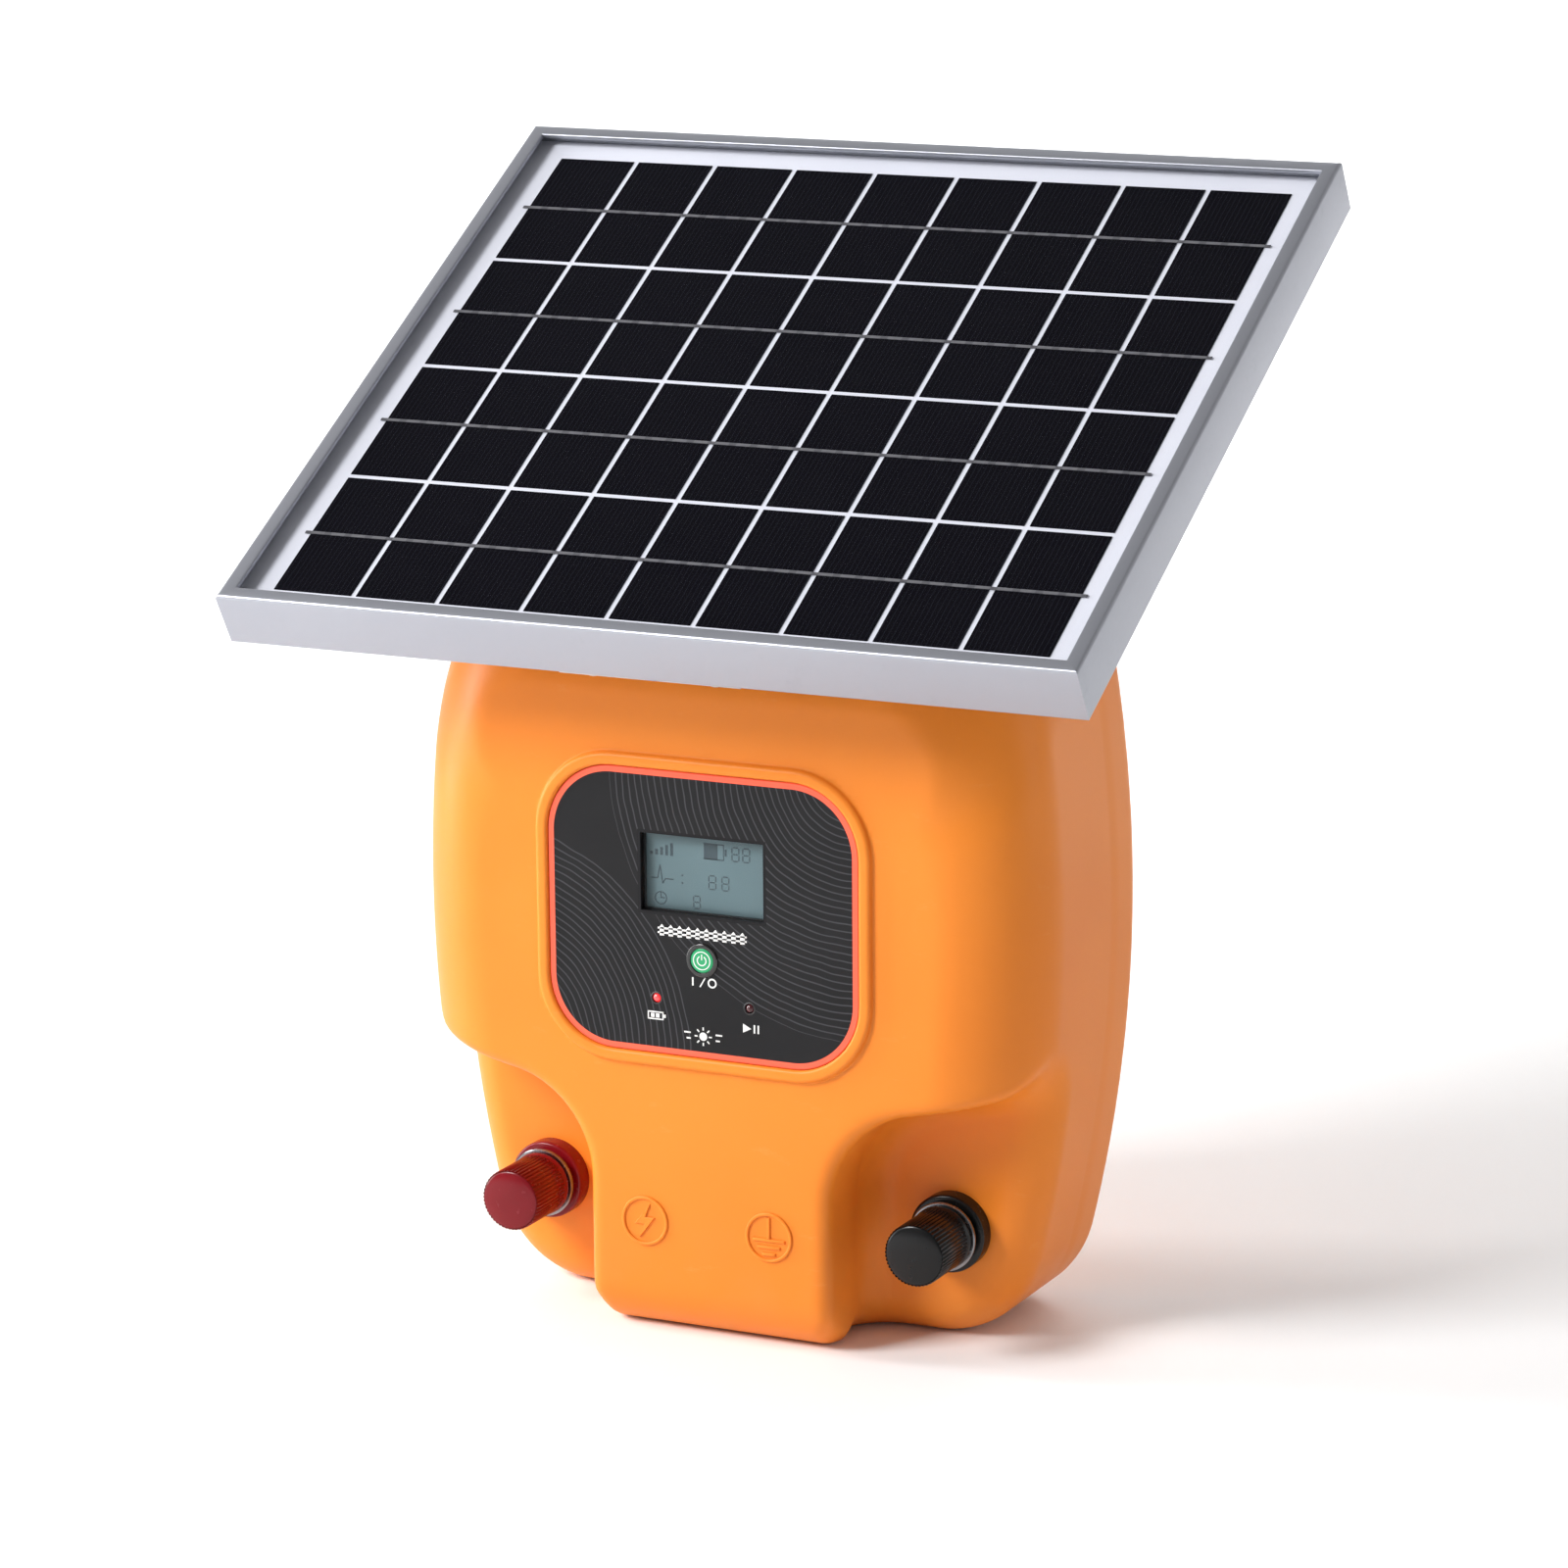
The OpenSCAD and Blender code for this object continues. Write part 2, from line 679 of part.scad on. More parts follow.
// Frame profile: [distance in from the outer face, height]
function profile() = [
    [0, 0], [lip_w, 0], [lip_w, -frame_t], [frame_t, -frame_t], [frame_t, -slot_low],
    [lip_w, -slot_low], [lip_w, -slot_low - 1.2], [frame_t, -slot_low - 1.2],
    [frame_t, frame_t - frame_h], [flange_w, frame_t - frame_h], [flange_w, -frame_h], [0, -frame_h]];

// A rail along X at the lower edge of a w by l frame, with both ends mitred
module rail(w, l) {
    intersection() {
        translate([-w / 2, -l / 2, 0]) rotate([90, 0, 90]) linear_extrude(w) polygon(profile());
        translate([0, -l / 2, -frame_h - 1]) linear_extrude(frame_h + 2)
            polygon([[-w / 2, 0], [w / 2, 0], [w / 2 - 20, 20], [20 - w / 2, 20]]);
    }
}

// Lower or upper rail, with two holes in its flange for the screws of the bracket
module bracket_rail() {
    difference() {
        rail(panel_w, panel_l);
        for (x = [-frame_screw_x, frame_screw_x]) translate([x, frame_screw_v - panel_l / 2, -frame_h - 1])
            cylinder(h = frame_t + 2, r = frame_screw_r + fit, $fn = 32);
    }
}

module front_rail() { color("silver") on_panel() bracket_rail(); }
module rear_rail() { color("silver") on_panel() rotate([0, 0, 180]) bracket_rail(); }
module left_rail() { color("silver") on_panel() rotate([0, 0, -90]) rail(panel_l, panel_w); }
module right_rail() { color("silver") on_panel() rotate([0, 0, 90]) rail(panel_l, panel_w); }

module frame_corner_keys() {
    leg = 26;
    color("gray") on_panel() for (sx = [-1, 1]) for (sy = [-1, 1])
        mirror([sx > 0 ? 1 : 0, 0, 0]) mirror([0, sy > 0 ? 1 : 0, 0])
        translate([-panel_w / 2 + frame_t + 0.1, -panel_l / 2 + frame_t + 0.1, frame_t - frame_h + 0.1])
        linear_extrude(8) polygon([[0, 0], [leg, 0], [leg, 3], [3, 3], [3, leg], [0, leg]]);
}

module sheet(w, l, top, thick) {
    on_panel() translate([-w / 2, -l / 2, -top - thick]) cube([w, l, thick]);
}

module panel_glass() {
    color([0.6, 0.7, 0.8, 0.3]) sheet(pane_w, pane_l, slot_top + 0.02, glass_t);
}

module solar_cells() {
    pw = (field_w + cell_gap) / cell_cols;
    pl = (field_l + cell_gap) / cell_rows;
    color([0.04, 0.04, 0.09]) on_panel() for (i = [0 : cell_cols - 1]) for (j = [0 : cell_rows - 1])
        translate([-field_w / 2 + i * pw, -field_l / 2 + j * pl, -cells_n - 0.25])
            cube([pw - cell_gap, pl - cell_gap, 0.25]);
}

module cell_ribbons() {
    pl = (field_l + cell_gap) / cell_rows;
    color("gray") on_panel() for (j = [0 : cell_rows - 1])
        translate([-field_w / 2 - 2, -field_l / 2 + (j + 0.5) * pl - cell_gap / 2 - 0.6, -ribbon_n - 0.15])
            cube([field_w + 4, 1.2, 0.15]);
}

module panel_backsheet() {
    color("white") sheet(pane_w, pane_l, sheet_n, slot_low - sheet_n - 0.02);
}

module junction_box() {
    color([0.1, 0.1, 0.1]) on_panel() difference() {
        translate([45, 50, -15]) cube([50, 40, 15 - slot_low]);
        translate([47, 52, -16]) cube([46, 36, 16 - slot_low - 2]);
        translate([70, 40, -11]) rotate([-90, 0, 0]) cylinder(h = 14, r = 3.1, $fn = 48);
    }
}

module junction_lid() {
    color([0.14, 0.14, 0.14]) on_panel() {
        translate([45, 50, -17]) cube([50, 40, 1.9]);
    }
}

module junction_gland() {
    color([0.1, 0.1, 0.1]) on_panel() translate([70, 0, -11]) rotate([-90, 0, 0]) difference() {
        union() {
            translate([0, 0, 44]) cylinder(h = 5.9, r = 5, $fn = 6);
            translate([0, 0, 38]) cylinder(h = 6, r = 4.2, $fn = 48);
            translate([0, 0, 49]) cylinder(h = 2.8, r = 3, $fn = 48);
        }
        translate([0, 0, 37]) cylinder(h = 16, r = 1.8, $fn = 48);
    }
}

// ---------------------------------------------------------------- tilt hinge

// Strap under the frame with two ears that turn on the hinge bolt
module panel_bracket() {
    half = ear_x - steel - gap;
    color("lightgray") on_panel() difference() {
        union() {
            translate([-half, -panel_l / 2 + 2, -frame_h - steel]) cube([2 * half, panel_l - 4, steel]);
            for (s = [-1, 1]) translate([s > 0 ? half - steel : -half, 0, 0]) {
                translate([0, -inner_ear_r, -pivot_to_face])
                    cube([steel, 2 * inner_ear_r, pivot_to_face - frame_h]);
                translate([0, 0, -pivot_to_face]) rotate([0, 90, 0])
                    cylinder(h = steel, r = inner_ear_r, $fn = 64);
            }
        }
        translate([-half - 1, 0, -pivot_to_face]) rotate([0, 90, 0])
            cylinder(h = 2 * half + 2, r = bolt_d / 2 + fit, $fn = 64);
        for (x = [-frame_screw_x, frame_screw_x]) for (s = [-1, 1])
            translate([x, s * (panel_l / 2 - frame_screw_v), -frame_h - steel - 1])
                cylinder(h = steel + 2, r = frame_screw_r + 0.6, $fn = 48);
    }
}

module panel_bracket_screws() {
    color("silver") on_panel() for (x = [-frame_screw_x, frame_screw_x]) for (s = [-1, 1])
        translate([x, s * (panel_l / 2 - frame_screw_v), 0]) {
        translate([0, 0, -frame_h - steel]) cylinder(h = steel + frame_t + 3, r = frame_screw_r, $fn = 32);
        translate([0, 0, -frame_h - steel - 2]) cylinder(h = 2, r = 3.4, $fn = 48);
    }
}

module base_bracket() {
    color("lightgray") difference() {
        union() {
            box([-ear_x, seam_y + 1.5, shell_h], [ear_x, back_y - back_round, shell_h + steel]);
            for (x = [-ear_x, ear_x - steel]) {
                box([x, seam_y + 1.5, shell_h], [x + steel, pivot_y + outer_ear_r, hinge_z]);
                translate([x, pivot_y, hinge_z]) rotate([0, 90, 0])
                    cylinder(h = steel, r = outer_ear_r, $fn = 64);
            }
        }
        translate([-ear_x - 1, pivot_y, hinge_z]) rotate([0, 90, 0])
            cylinder(h = 2 * ear_x + 2, r = bolt_d / 2 + fit, $fn = 64);
        for (x = base_screw_x) translate([x, base_screw_y, shell_h - 1])
            cylinder(h = steel + 2, r = base_screw_r + 0.3, $fn = 48);
    }
}

module base_bracket_screws() {
    color("silver") for (x = base_screw_x) translate([x, base_screw_y, 0]) {
        translate([0, 0, shell_h - base_screw_in]) cylinder(h = base_screw_in + steel, r = base_screw_r, $fn = 32);
        translate([0, 0, shell_h + steel]) cylinder(h = 0.4, r = 3.6, $fn = 48);
    }
}

module hinge_bolt() {
    color("silver") translate([0, pivot_y, hinge_z]) rotate([0, 90, 0]) {
        translate([0, 0, -ear_x - 0.2]) cylinder(h = 2 * ear_x + 10, r = bolt_d / 2, $fn = 48);
        translate([0, 0, -ear_x - 4]) cylinder(h = 3.8, r = 4.6, $fn = 6);
    }
}

module hinge_nuts() {
    color("gray") translate([0, pivot_y, hinge_z]) rotate([0, 90, 0]) difference() {
        union() {
            translate([0, 0, ear_x + 0.1]) cylinder(h = 1, r = 5, $fn = 48);
            translate([0, 0, ear_x + 1.1]) cylinder(h = 4.5, r = 4.6, $fn = 6);
        }
        translate([0, 0, ear_x]) cylinder(h = 8, r = bolt_d / 2 + fit, $fn = 48);
    }
}

// Gland that takes the lead of the panel into the housing
module cable_gland() {
    color([0.1, 0.1, 0.1]) translate([gland_x, gland_y, shell_h]) difference() {
        union() {
            translate([0, 0, -5]) cylinder(h = 5.5, r = gland_r, $fn = 64);
            translate([0, 0, 0.1]) cylinder(h = 3, r = gland_r + 2, $fn = 6);
            translate([0, 0, 3]) cylinder(h = 5, r = gland_r, $fn = 64);
            translate([0, 0, 8]) cylinder(h = 3, r1 = gland_r, r2 = gland_r - 2, $fn = 64);
        }
        translate([0, 0, -6]) cylinder(h = 20, r = 2.4, $fn = 48);
    }
}

front_shell();
rear_shell();
case_gasket();
case_screws();
mount_inserts();
face_label();
display_window();
display_module();
display_board();
display_board_screws();
button_bezel();
power_button();
button_switch();
power_lamp();
run_lamp();
main_board();
main_board_screws();
board_components();
discharge_capacitor();
transformer_core();
transformer_coil();
transformer_base();
battery_cells();
battery_tray();
battery_strap();
fence_collar();
fence_stud();
fence_washer();
fence_knob();
fence_nuts();
fence_busbar();
earth_collar();
earth_stud();
earth_washer();
earth_knob();
earth_nuts();
earth_busbar();
front_rail();
rear_rail();
left_rail();
right_rail();
frame_corner_keys();
panel_glass();
solar_cells();
cell_ribbons();
panel_backsheet();
junction_box();
junction_lid();
junction_gland();
panel_bracket();
panel_bracket_screws();
base_bracket();
base_bracket_screws();
hinge_bolt();
hinge_nuts();
cable_gland();
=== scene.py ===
"""Looks of a solar fence energizer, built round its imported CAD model. Metres, +Z up, front towards -Y."""

import json
import math

import bmesh
import bpy
import numpy as np
from mathutils import Matrix, Vector

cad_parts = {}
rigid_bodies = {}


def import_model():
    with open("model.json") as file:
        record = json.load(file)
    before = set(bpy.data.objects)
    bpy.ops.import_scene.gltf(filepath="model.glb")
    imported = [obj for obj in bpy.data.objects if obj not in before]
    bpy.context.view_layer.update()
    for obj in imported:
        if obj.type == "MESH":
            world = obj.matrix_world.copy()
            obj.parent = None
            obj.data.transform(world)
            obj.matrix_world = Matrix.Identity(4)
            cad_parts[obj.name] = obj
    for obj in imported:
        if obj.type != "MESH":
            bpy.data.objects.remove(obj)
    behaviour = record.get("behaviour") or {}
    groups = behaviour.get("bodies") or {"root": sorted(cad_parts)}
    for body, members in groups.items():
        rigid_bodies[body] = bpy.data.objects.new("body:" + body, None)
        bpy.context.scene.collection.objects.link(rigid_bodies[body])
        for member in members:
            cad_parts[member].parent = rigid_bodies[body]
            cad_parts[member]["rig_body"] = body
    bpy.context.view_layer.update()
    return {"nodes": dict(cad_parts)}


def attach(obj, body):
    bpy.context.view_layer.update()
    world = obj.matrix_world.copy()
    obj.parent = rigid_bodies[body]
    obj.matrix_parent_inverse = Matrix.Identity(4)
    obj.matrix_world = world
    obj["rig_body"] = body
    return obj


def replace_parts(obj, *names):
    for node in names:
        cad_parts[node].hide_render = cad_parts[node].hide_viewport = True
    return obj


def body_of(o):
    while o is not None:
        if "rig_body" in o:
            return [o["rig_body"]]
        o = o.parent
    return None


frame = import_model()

# ---------------------------------------------------------------- studio
# A white table that curves up into a wall, with four soft lights: a large one high on the left, a long
# narrow one that draws the pale line down the left edge, a weak one on the right and one for the far table.

MM = 0.001
yaw, dip, lean = math.radians(25.788), math.radians(12.952), math.radians(0.467)
right = Vector((math.cos(yaw), math.sin(yaw), 0))
ahead = Vector((-math.sin(yaw) * math.cos(dip), math.cos(yaw) * math.cos(dip), -math.sin(dip)))
down = ahead.cross(right)
across = math.cos(lean) * right + math.sin(lean) * down
drop = -math.sin(lean) * right + math.cos(lean) * down

eye = bpy.data.cameras.new("camera")
eye.lens = 129.43
eye.sensor_width = 36
eye.clip_end = 20
camera = bpy.data.objects.new("camera", eye)
facing = Matrix((across, -drop, -ahead)).transposed().to_4x4()
camera.matrix_world = Matrix.Translation((0.7352, -1.5087, 0.5515)) @ facing
bpy.context.scene.collection.objects.link(camera)
bpy.context.scene.camera = camera
bpy.context.scene.view_settings.view_transform = "Standard"


def soft_light(name, place, aim, width, height, watts):
    lamp = bpy.data.lights.new(name, "AREA")
    lamp.shape = "RECTANGLE"
    lamp.size, lamp.size_y, lamp.energy = width, height, watts
    made = bpy.data.objects.new(name, lamp)
    made.location = place
    made.rotation_euler = (Vector(aim) - Vector(place)).to_track_quat("-Z", "Y").to_euler()
    bpy.context.scene.collection.objects.link(made)


soft_light("key_light", (-1.2, -1.5, 1.45), (0, 0, 0.12), 0.8, 0.8, 52)
soft_light("edge_light", (-1.5, -0.35, 0.45), (-0.05, 0, 0.15), 0.35, 1.5, 25)
soft_light("side_light", (1.7, 0.35, 0.5), (0.05, 0, 0.13), 0.5, 1.0, 3)
soft_light("table_light", (-0.9, 1.9, 1.6), (-0.9, 3.2, 0), 3.0, 2.0, 60)

world = bpy.data.worlds.new("room")
world.use_nodes = True
world.node_tree.nodes["Background"].inputs["Color"].default_value = (1, 1, 1, 1)
world.node_tree.nodes["Background"].inputs["Strength"].default_value = 0.27
bpy.context.scene.world = world


def wired(tree, kind, settings, values, named):
    """A new node, its settings made and its inputs set or linked by number or by name"""
    made = tree.nodes.new(kind)
    for key, value in (settings or {}).items():
        setattr(made, key, value)
    for key, value in [*enumerate(values), *named.items()]:
        socket = made.inputs[key if isinstance(key, int) else key.replace("_", " ")]
        if isinstance(value, bpy.types.NodeSocket):
            tree.links.new(value, socket)
        elif value is not None:
            socket.default_value = value
    return made


class Wire:
    """A shader value that adds, subtracts, multiplies and compares as a number does."""

    def __init__(self, finish, socket):
        self.finish, self.socket = finish, socket

    def math(self, operation, *values):
        return self.finish.node("Math", {"operation": operation}, *values)

    def __add__(self, other):
        return self.math("ADD", self, other)

    def __radd__(self, other):
        return self.math("ADD", other, self)

    def __sub__(self, other):
        return self.math("SUBTRACT", self, other)

    def __rsub__(self, other):
        return self.math("SUBTRACT", other, self)

    def __mul__(self, other):
        return self.math("MULTIPLY", self, other)

    def __rmul__(self, other):
        return self.math("MULTIPLY", other, self)

    def __truediv__(self, other):
        return self.math("DIVIDE", self, other)

    def __mod__(self, other):
        return self.math("FLOORED_MODULO", self, other)

    def __lt__(self, other):
        return self.math("LESS_THAN", self, other)

    def __abs__(self):
        return self.math("ABSOLUTE", self)

    def least(self, other):
        return self.math("MINIMUM", self, other)

    def most(self, other):
        return self.math("MAXIMUM", self, other)

    def ramp(self, low, high):
        """0 below low, 1 above high, smooth between"""
        return self.finish.node("MapRange", {"interpolation_type": "SMOOTHSTEP"}, self, low, high)


class Finish:
    """One material. node() makes any node; skin() ends the tree in the one shader it needs."""

    def __init__(self, name):
        self.material = bpy.data.materials.new(name)
        self.material.use_nodes = True
        self.tree = self.material.node_tree
        self.tree.nodes.clear()
        self.place = self.node("TexCoord", output="Object")

    def node(self, kind, settings=None, *values, output=0, **named):
        values = [v.socket if isinstance(v, Wire) else v for v in values]
        named = {key: v.socket if isinstance(v, Wire) else v for key, v in named.items()}
        return Wire(self, wired(self.tree, "ShaderNode" + kind, settings, values, named).outputs[output])

    def seated(self, place, turn=(0, 0, 0)):
        """Coordinates counted from a place on the piece, along axes turned with it"""
        return self.node("Mapping", {"vector_type": "TEXTURE"}, self.place, place, turn)

    def mix(self, share, a, b):
        return self.node("Mix", {"data_type": "RGBA"}, share, None, None, None, None, None, a, b, output=2)

    def turned(self, place=(0, 0, 0), turn=(0, 0, 0), stretch=(1, 1, 1)):
        return self.node("Mapping", None, self.place, place, turn, stretch)

    def noise(self, scale, detail=2, place=None, rough=0.5):
        return self.node("TexNoise", None, place or self.place, Scale=scale, Detail=detail, Roughness=rough)

    def axes(self, place=None):
        split = self.node("SeparateXYZ", None, place or self.place)
        return [Wire(self, out) for out in split.socket.node.outputs]

    def bump(self, height, strength, distance, under=None):
        return self.node("Bump", None, Height=height, Strength=strength, Distance=distance, Normal=under)

    def skin(self, colour, roughness, **more):
        shader = self.node("BsdfPrincipled", None, Base_Color=colour, Roughness=roughness, **more)
        self.tree.links.new(shader.socket, self.tree.nodes.new("ShaderNodeOutputMaterial").inputs["Surface"])
        return self.material


def rgb(r, g, b):
    """A colour given as it looks, 0 to 255, as the light values that a shader takes"""
    return tuple((c / 255 / 12.92 if c <= 10 else ((c / 255 + 0.055) / 1.055) ** 2.4)
                 for c in (r, g, b)) + (1,)


def mottled(name, low, high, rough, spread, scale, detail, grain, strength, depth=0.0001, **more):
    """A finish clouded between two colours, with a fine grain over it"""
    made = Finish(name)
    cloud = made.noise(scale, detail)
    made.skin(made.mix(cloud, low, high), rough + cloud * spread,
              Normal=made.bump(made.noise(grain), strength, depth), **more)
    return made


def mesh_object(name, points, faces, material=None, sharp=None):
    """points in millimetres, each face a row of point numbers. Edges past the angle sharp stay crisp."""
    mesh = bpy.data.meshes.new(name)
    mesh.from_pydata((np.asarray(points, float) * MM).tolist(), [], [list(f) for f in faces])
    made = bpy.data.objects.new(name, mesh)
    bpy.context.scene.collection.objects.link(made)
    shade(made, sharp)
    if material:
        mesh.materials.append(material)
    return made


def shade(made, sharp):
    if sharp is not None:
        made.data.shade_smooth()
        made.data.set_sharp_from_angle(angle=math.radians(sharp))


def painted(made, finish):
    """made in one finish all over"""
    made.data.materials.clear()
    made.data.materials.append(finish)
    made.data.polygons.foreach_set("material_index", np.zeros(len(made.data.polygons), np.int32))
    return made


def outward(made):
    """made with its faces pointing out"""
    work = bmesh.new()
    work.from_mesh(made.data)
    bmesh.ops.remove_doubles(work, verts=work.verts, dist=1e-7)
    bmesh.ops.recalc_face_normals(work, faces=work.faces)
    work.to_mesh(made.data)
    work.free()
    return made


floor_paint = Finish("floor_paint")
floor_paint.skin(floor_paint.mix(floor_paint.noise(3), rgb(250, 250, 250), rgb(255, 255, 255)), 0.75)
sweep = [(-3.5, 0), (1.6, 0)] + [(1.6 + 0.6 * math.sin(a), 0.6 - 0.6 * math.cos(a))
                                 for a in np.linspace(0.1, 1.57, 12)] + [(2.2, 4)]
table = mesh_object("table", [(x * 1000, y * 1000, z * 1000) for y, z in sweep for x in (-5, 5)],
                    [(2 * i, 2 * i + 1, 2 * i + 3, 2 * i + 2) for i in range(len(sweep) - 1)],
                    floor_paint.material, 60)

# ---------------------------------------------------------------- housing shells
# Two injection-moulded halves in orange ABS with a satin grain, 2.8 mm thick. The front half has the rim
# of the label, the two cut-back terminal corners and the raised signs. Six screws from behind hold them.

wide, tall, wall = 210, 260, 2.8
bow_radius, widest_z = 440, 132
face_y, rim_y, seam_y, back_y = -43.5, -45.5, 22, 44.5
floor_y, tongue_half, shoulder_radius, shoulder_z, ceiling_slope = -13, 40.5, 32, 47, math.radians(12)
brow_slope, brow_y = math.radians(40), 16
post_x, post_z = 68.5, 36


def both(a, b, r, lean=0.0):
    """Inside a and inside b, the edge where they meet rounded to r. Distances are negative inside.
    lean is the cosine between the outward directions of the two, 0 where they are square to each other."""
    p, q = a + r, b + r
    wedge = (p > lean * q) & (q > lean * p)
    rounded_off = np.sqrt(np.maximum(p * p + q * q - 2 * lean * p * q, 0) / (1 - lean * lean))
    return np.where(wedge, rounded_off, np.maximum(p, q)) - r


def smooth(t):
    t = np.clip(t, 0, 1)
    return t * t * (3 - 2 * t)


def pulled_in(d, r):
    return np.where(d <= 0, 0, r - np.sqrt(np.maximum(r * r - np.maximum(d, 0) ** 2, 0)))


def whole_body(x, y, z):
    """Distance to the housing before its corners are cut"""
    lean = (z - widest_z) / bow_radius
    side = (np.abs(x) - (wide / 2 - lean ** 2 * bow_radius / 2)) / np.sqrt(1 + lean ** 2)
    base = -z
    slope = (z - tall) * math.cos(brow_slope) - (y - brow_y) * math.sin(brow_slope)
    top = both(z - tall, slope, 4, math.cos(brow_slope))
    ease = 0.3 * pulled_in(face_y + 30 - y, 30)
    front = face_y - y
    low = both(side, base, 35 + ease, np.clip(-lean, 0, 0.5))
    sa, sb = np.maximum(side + 35, 0) ** 2, np.maximum(base + 35, 0) ** 2
    share = sa / (sa + sb + 1e-6)
    view = both(low, top, 40 + ease, np.clip(lean, 0, 0.5) * 0.9)
    high = np.maximum(top + 34, 0) ** 2
    soft = 16 + 14 * share
    soft = soft + (7 - soft) * (high / (high + sa + 60))
    return both(both(view, front, soft), y - back_y, 6)


def corner(x, y, z, grow=0):
    """Distance to the cut-back terminal corner, grown by grow"""
    ax = np.abs(x)
    sx = tongue_half + shoulder_radius
    dx, dz = ax - sx, z - shoulder_z
    angle = np.arctan2(dz, dx)
    stop = math.pi / 2 + ceiling_slope
    arc = np.hypot(dx, dz) - shoulder_radius
    tongue = tongue_half - ax
    fall = math.cos(ceiling_slope)
    ceiling = (dz - shoulder_radius / fall - dx * math.tan(ceiling_slope)) * fall
    area = np.where(dz < 0, tongue, np.where((angle > stop) & (angle <= math.pi), arc, ceiling))
    return both(area - grow, y - floor_y - grow, 10 - 0.6 * grow)


def front_body(x, y, z):
    lip = 4.2 + 9 * smooth((y + 34) / 18)
    edge = 14 * smooth((20 - z) / 16) * smooth((tongue_half + 6 - np.abs(x)) / 5) * smooth((-18 - y) / 12)
    return both(whole_body(x, y, z), -corner(x, y, z), np.maximum(lip, 0.5 * edge))


def front_hollow(x, y, z):
    lip = 9 * smooth((y + 34) / 18)
    return both(whole_body(x, y, z) + wall, -corner(x, y, z, wall), np.maximum(lip - wall, 0.6))


def rear_body(x, y, z):
    return whole_body(x, y, z) + 0.3 * (1 - smooth((y - seam_y) / 7))


def netted(field, low, high, pitch):
    """A closed mesh of quads on the surface where the field is zero, each point moved onto it"""
    sizes = [int(math.ceil((b - a) / pitch)) + 1 for a, b in zip(low, high)]
    x, y, z = [low[i] + pitch * np.arange(sizes[i]) for i in range(3)]
    value = field(x[:, None, None], y[None, :, None], z[None, None, :])
    value[0], value[-1], value[:, 0], value[:, -1], value[:, :, 0], value[:, :, -1] = (9.0,) * 6
    inside = value < 0
    cells = np.zeros([n - 1 for n in sizes], np.int8)
    for i in (0, 1):
        for j in (0, 1):
            for k in (0, 1):
                cells += inside[i:sizes[0] - 1 + i, j:sizes[1] - 1 + j, k:sizes[2] - 1 + k]
    mixed = (cells > 0) & (cells < 8)
    number = np.full(mixed.shape, -1, np.int64)
    where = np.argwhere(mixed)
    number[mixed] = np.arange(len(where))
    points = np.array(low) + pitch * (where + 0.5)
    step = 0.02
    for _ in range(7):
        px, py, pz = points.T
        here = field(px, py, pz)
        slope = np.stack([(field(px + step, py, pz) - here), (field(px, py + step, pz) - here),
                          (field(px, py, pz + step) - here)], 1) / step
        move = -here[:, None] * slope / np.maximum((slope ** 2).sum(1), 0.2)[:, None]
        length = np.linalg.norm(move, axis=1)[:, None]
        points += move * np.minimum(1, 0.6 * pitch / np.maximum(length, 1e-9))
    centre = np.array(low) + pitch * (where + 0.5)
    points = np.clip(points, centre - 0.75 * pitch, centre + 0.75 * pitch)
    quads = []
    for axis in range(3):
        a, b = (axis + 1) % 3, (axis + 2) % 3
        first = [slice(None)] * 3
        second = [slice(None)] * 3
        first[axis], second[axis] = slice(0, -1), slice(1, None)
        lower, upper = inside[tuple(first)], inside[tuple(second)]
        for turn, change in ((0, lower & ~upper), (1, ~lower & upper)):
            at = np.argwhere(change)
            at = at[(at[:, a] > 0) & (at[:, b] > 0) & (at[:, a] < sizes[a] - 1) & (at[:, b] < sizes[b] - 1)]
            ring = []
            for da, db in ((1, 1), (0, 1), (0, 0), (1, 0)):
                cell = at.copy()
                cell[:, a] -= da
                cell[:, b] -= db
                ring.append(number[tuple(cell.T)])
            ring = np.stack(ring, 1)
            quads.append(ring if turn == 0 else ring[:, ::-1])
    return points, np.concatenate(quads)


def lathe(profile, centre, axis="y", steps=48):
    """A solid of revolution. The profile is rows of radius and depth, from the low end to the high end."""
    angles = np.linspace(0, 2 * math.pi, steps, endpoint=False)
    points, rings = [], []
    for r, d in profile:
        if r < 1e-6:
            rings.append([len(points)])
            points.append((0, 0, d))
        else:
            rings.append(list(range(len(points), len(points) + steps)))
            points += [(r * math.cos(t), r * math.sin(t), d) for t in angles]
    faces = []
    for lower, upper in zip(rings, rings[1:]):
        for i in range(steps):
            j = (i + 1) % steps
            if len(lower) == 1:
                faces.append((lower[0], upper[j], upper[i]))
            elif len(upper) == 1:
                faces.append((lower[i], lower[j], upper[0]))
            else:
                faces.append((lower[i], lower[j], upper[j], upper[i]))
    if len(rings[0]) > 1:
        faces.append(tuple(reversed(rings[0])))
    if len(rings[-1]) > 1:
        faces.append(tuple(rings[-1]))
    p = np.array(points)
    if axis == "y":
        p = np.stack([p[:, 0], p[:, 2], -p[:, 1]], 1)
    return p + np.array(centre, float), faces


def stacked(rings):
    """A closed body through outlines with the same number of points, capped at both ends"""
    n, last = len(rings[0]), (len(rings) - 1) * len(rings[0])
    faces = [tuple(reversed(range(n))), tuple(range(last, last + n))]
    faces += [(k + i, k + (i + 1) % n, k + n + (i + 1) % n, k + n + i)
              for k in range(0, last, n) for i in range(n)]
    return [p for ring in rings for p in ring], faces


def rod(x, z, y0, y1, r, steps=48):
    return lathe([(r, y0), (r, y1)], (x, 0, z), "y", steps)


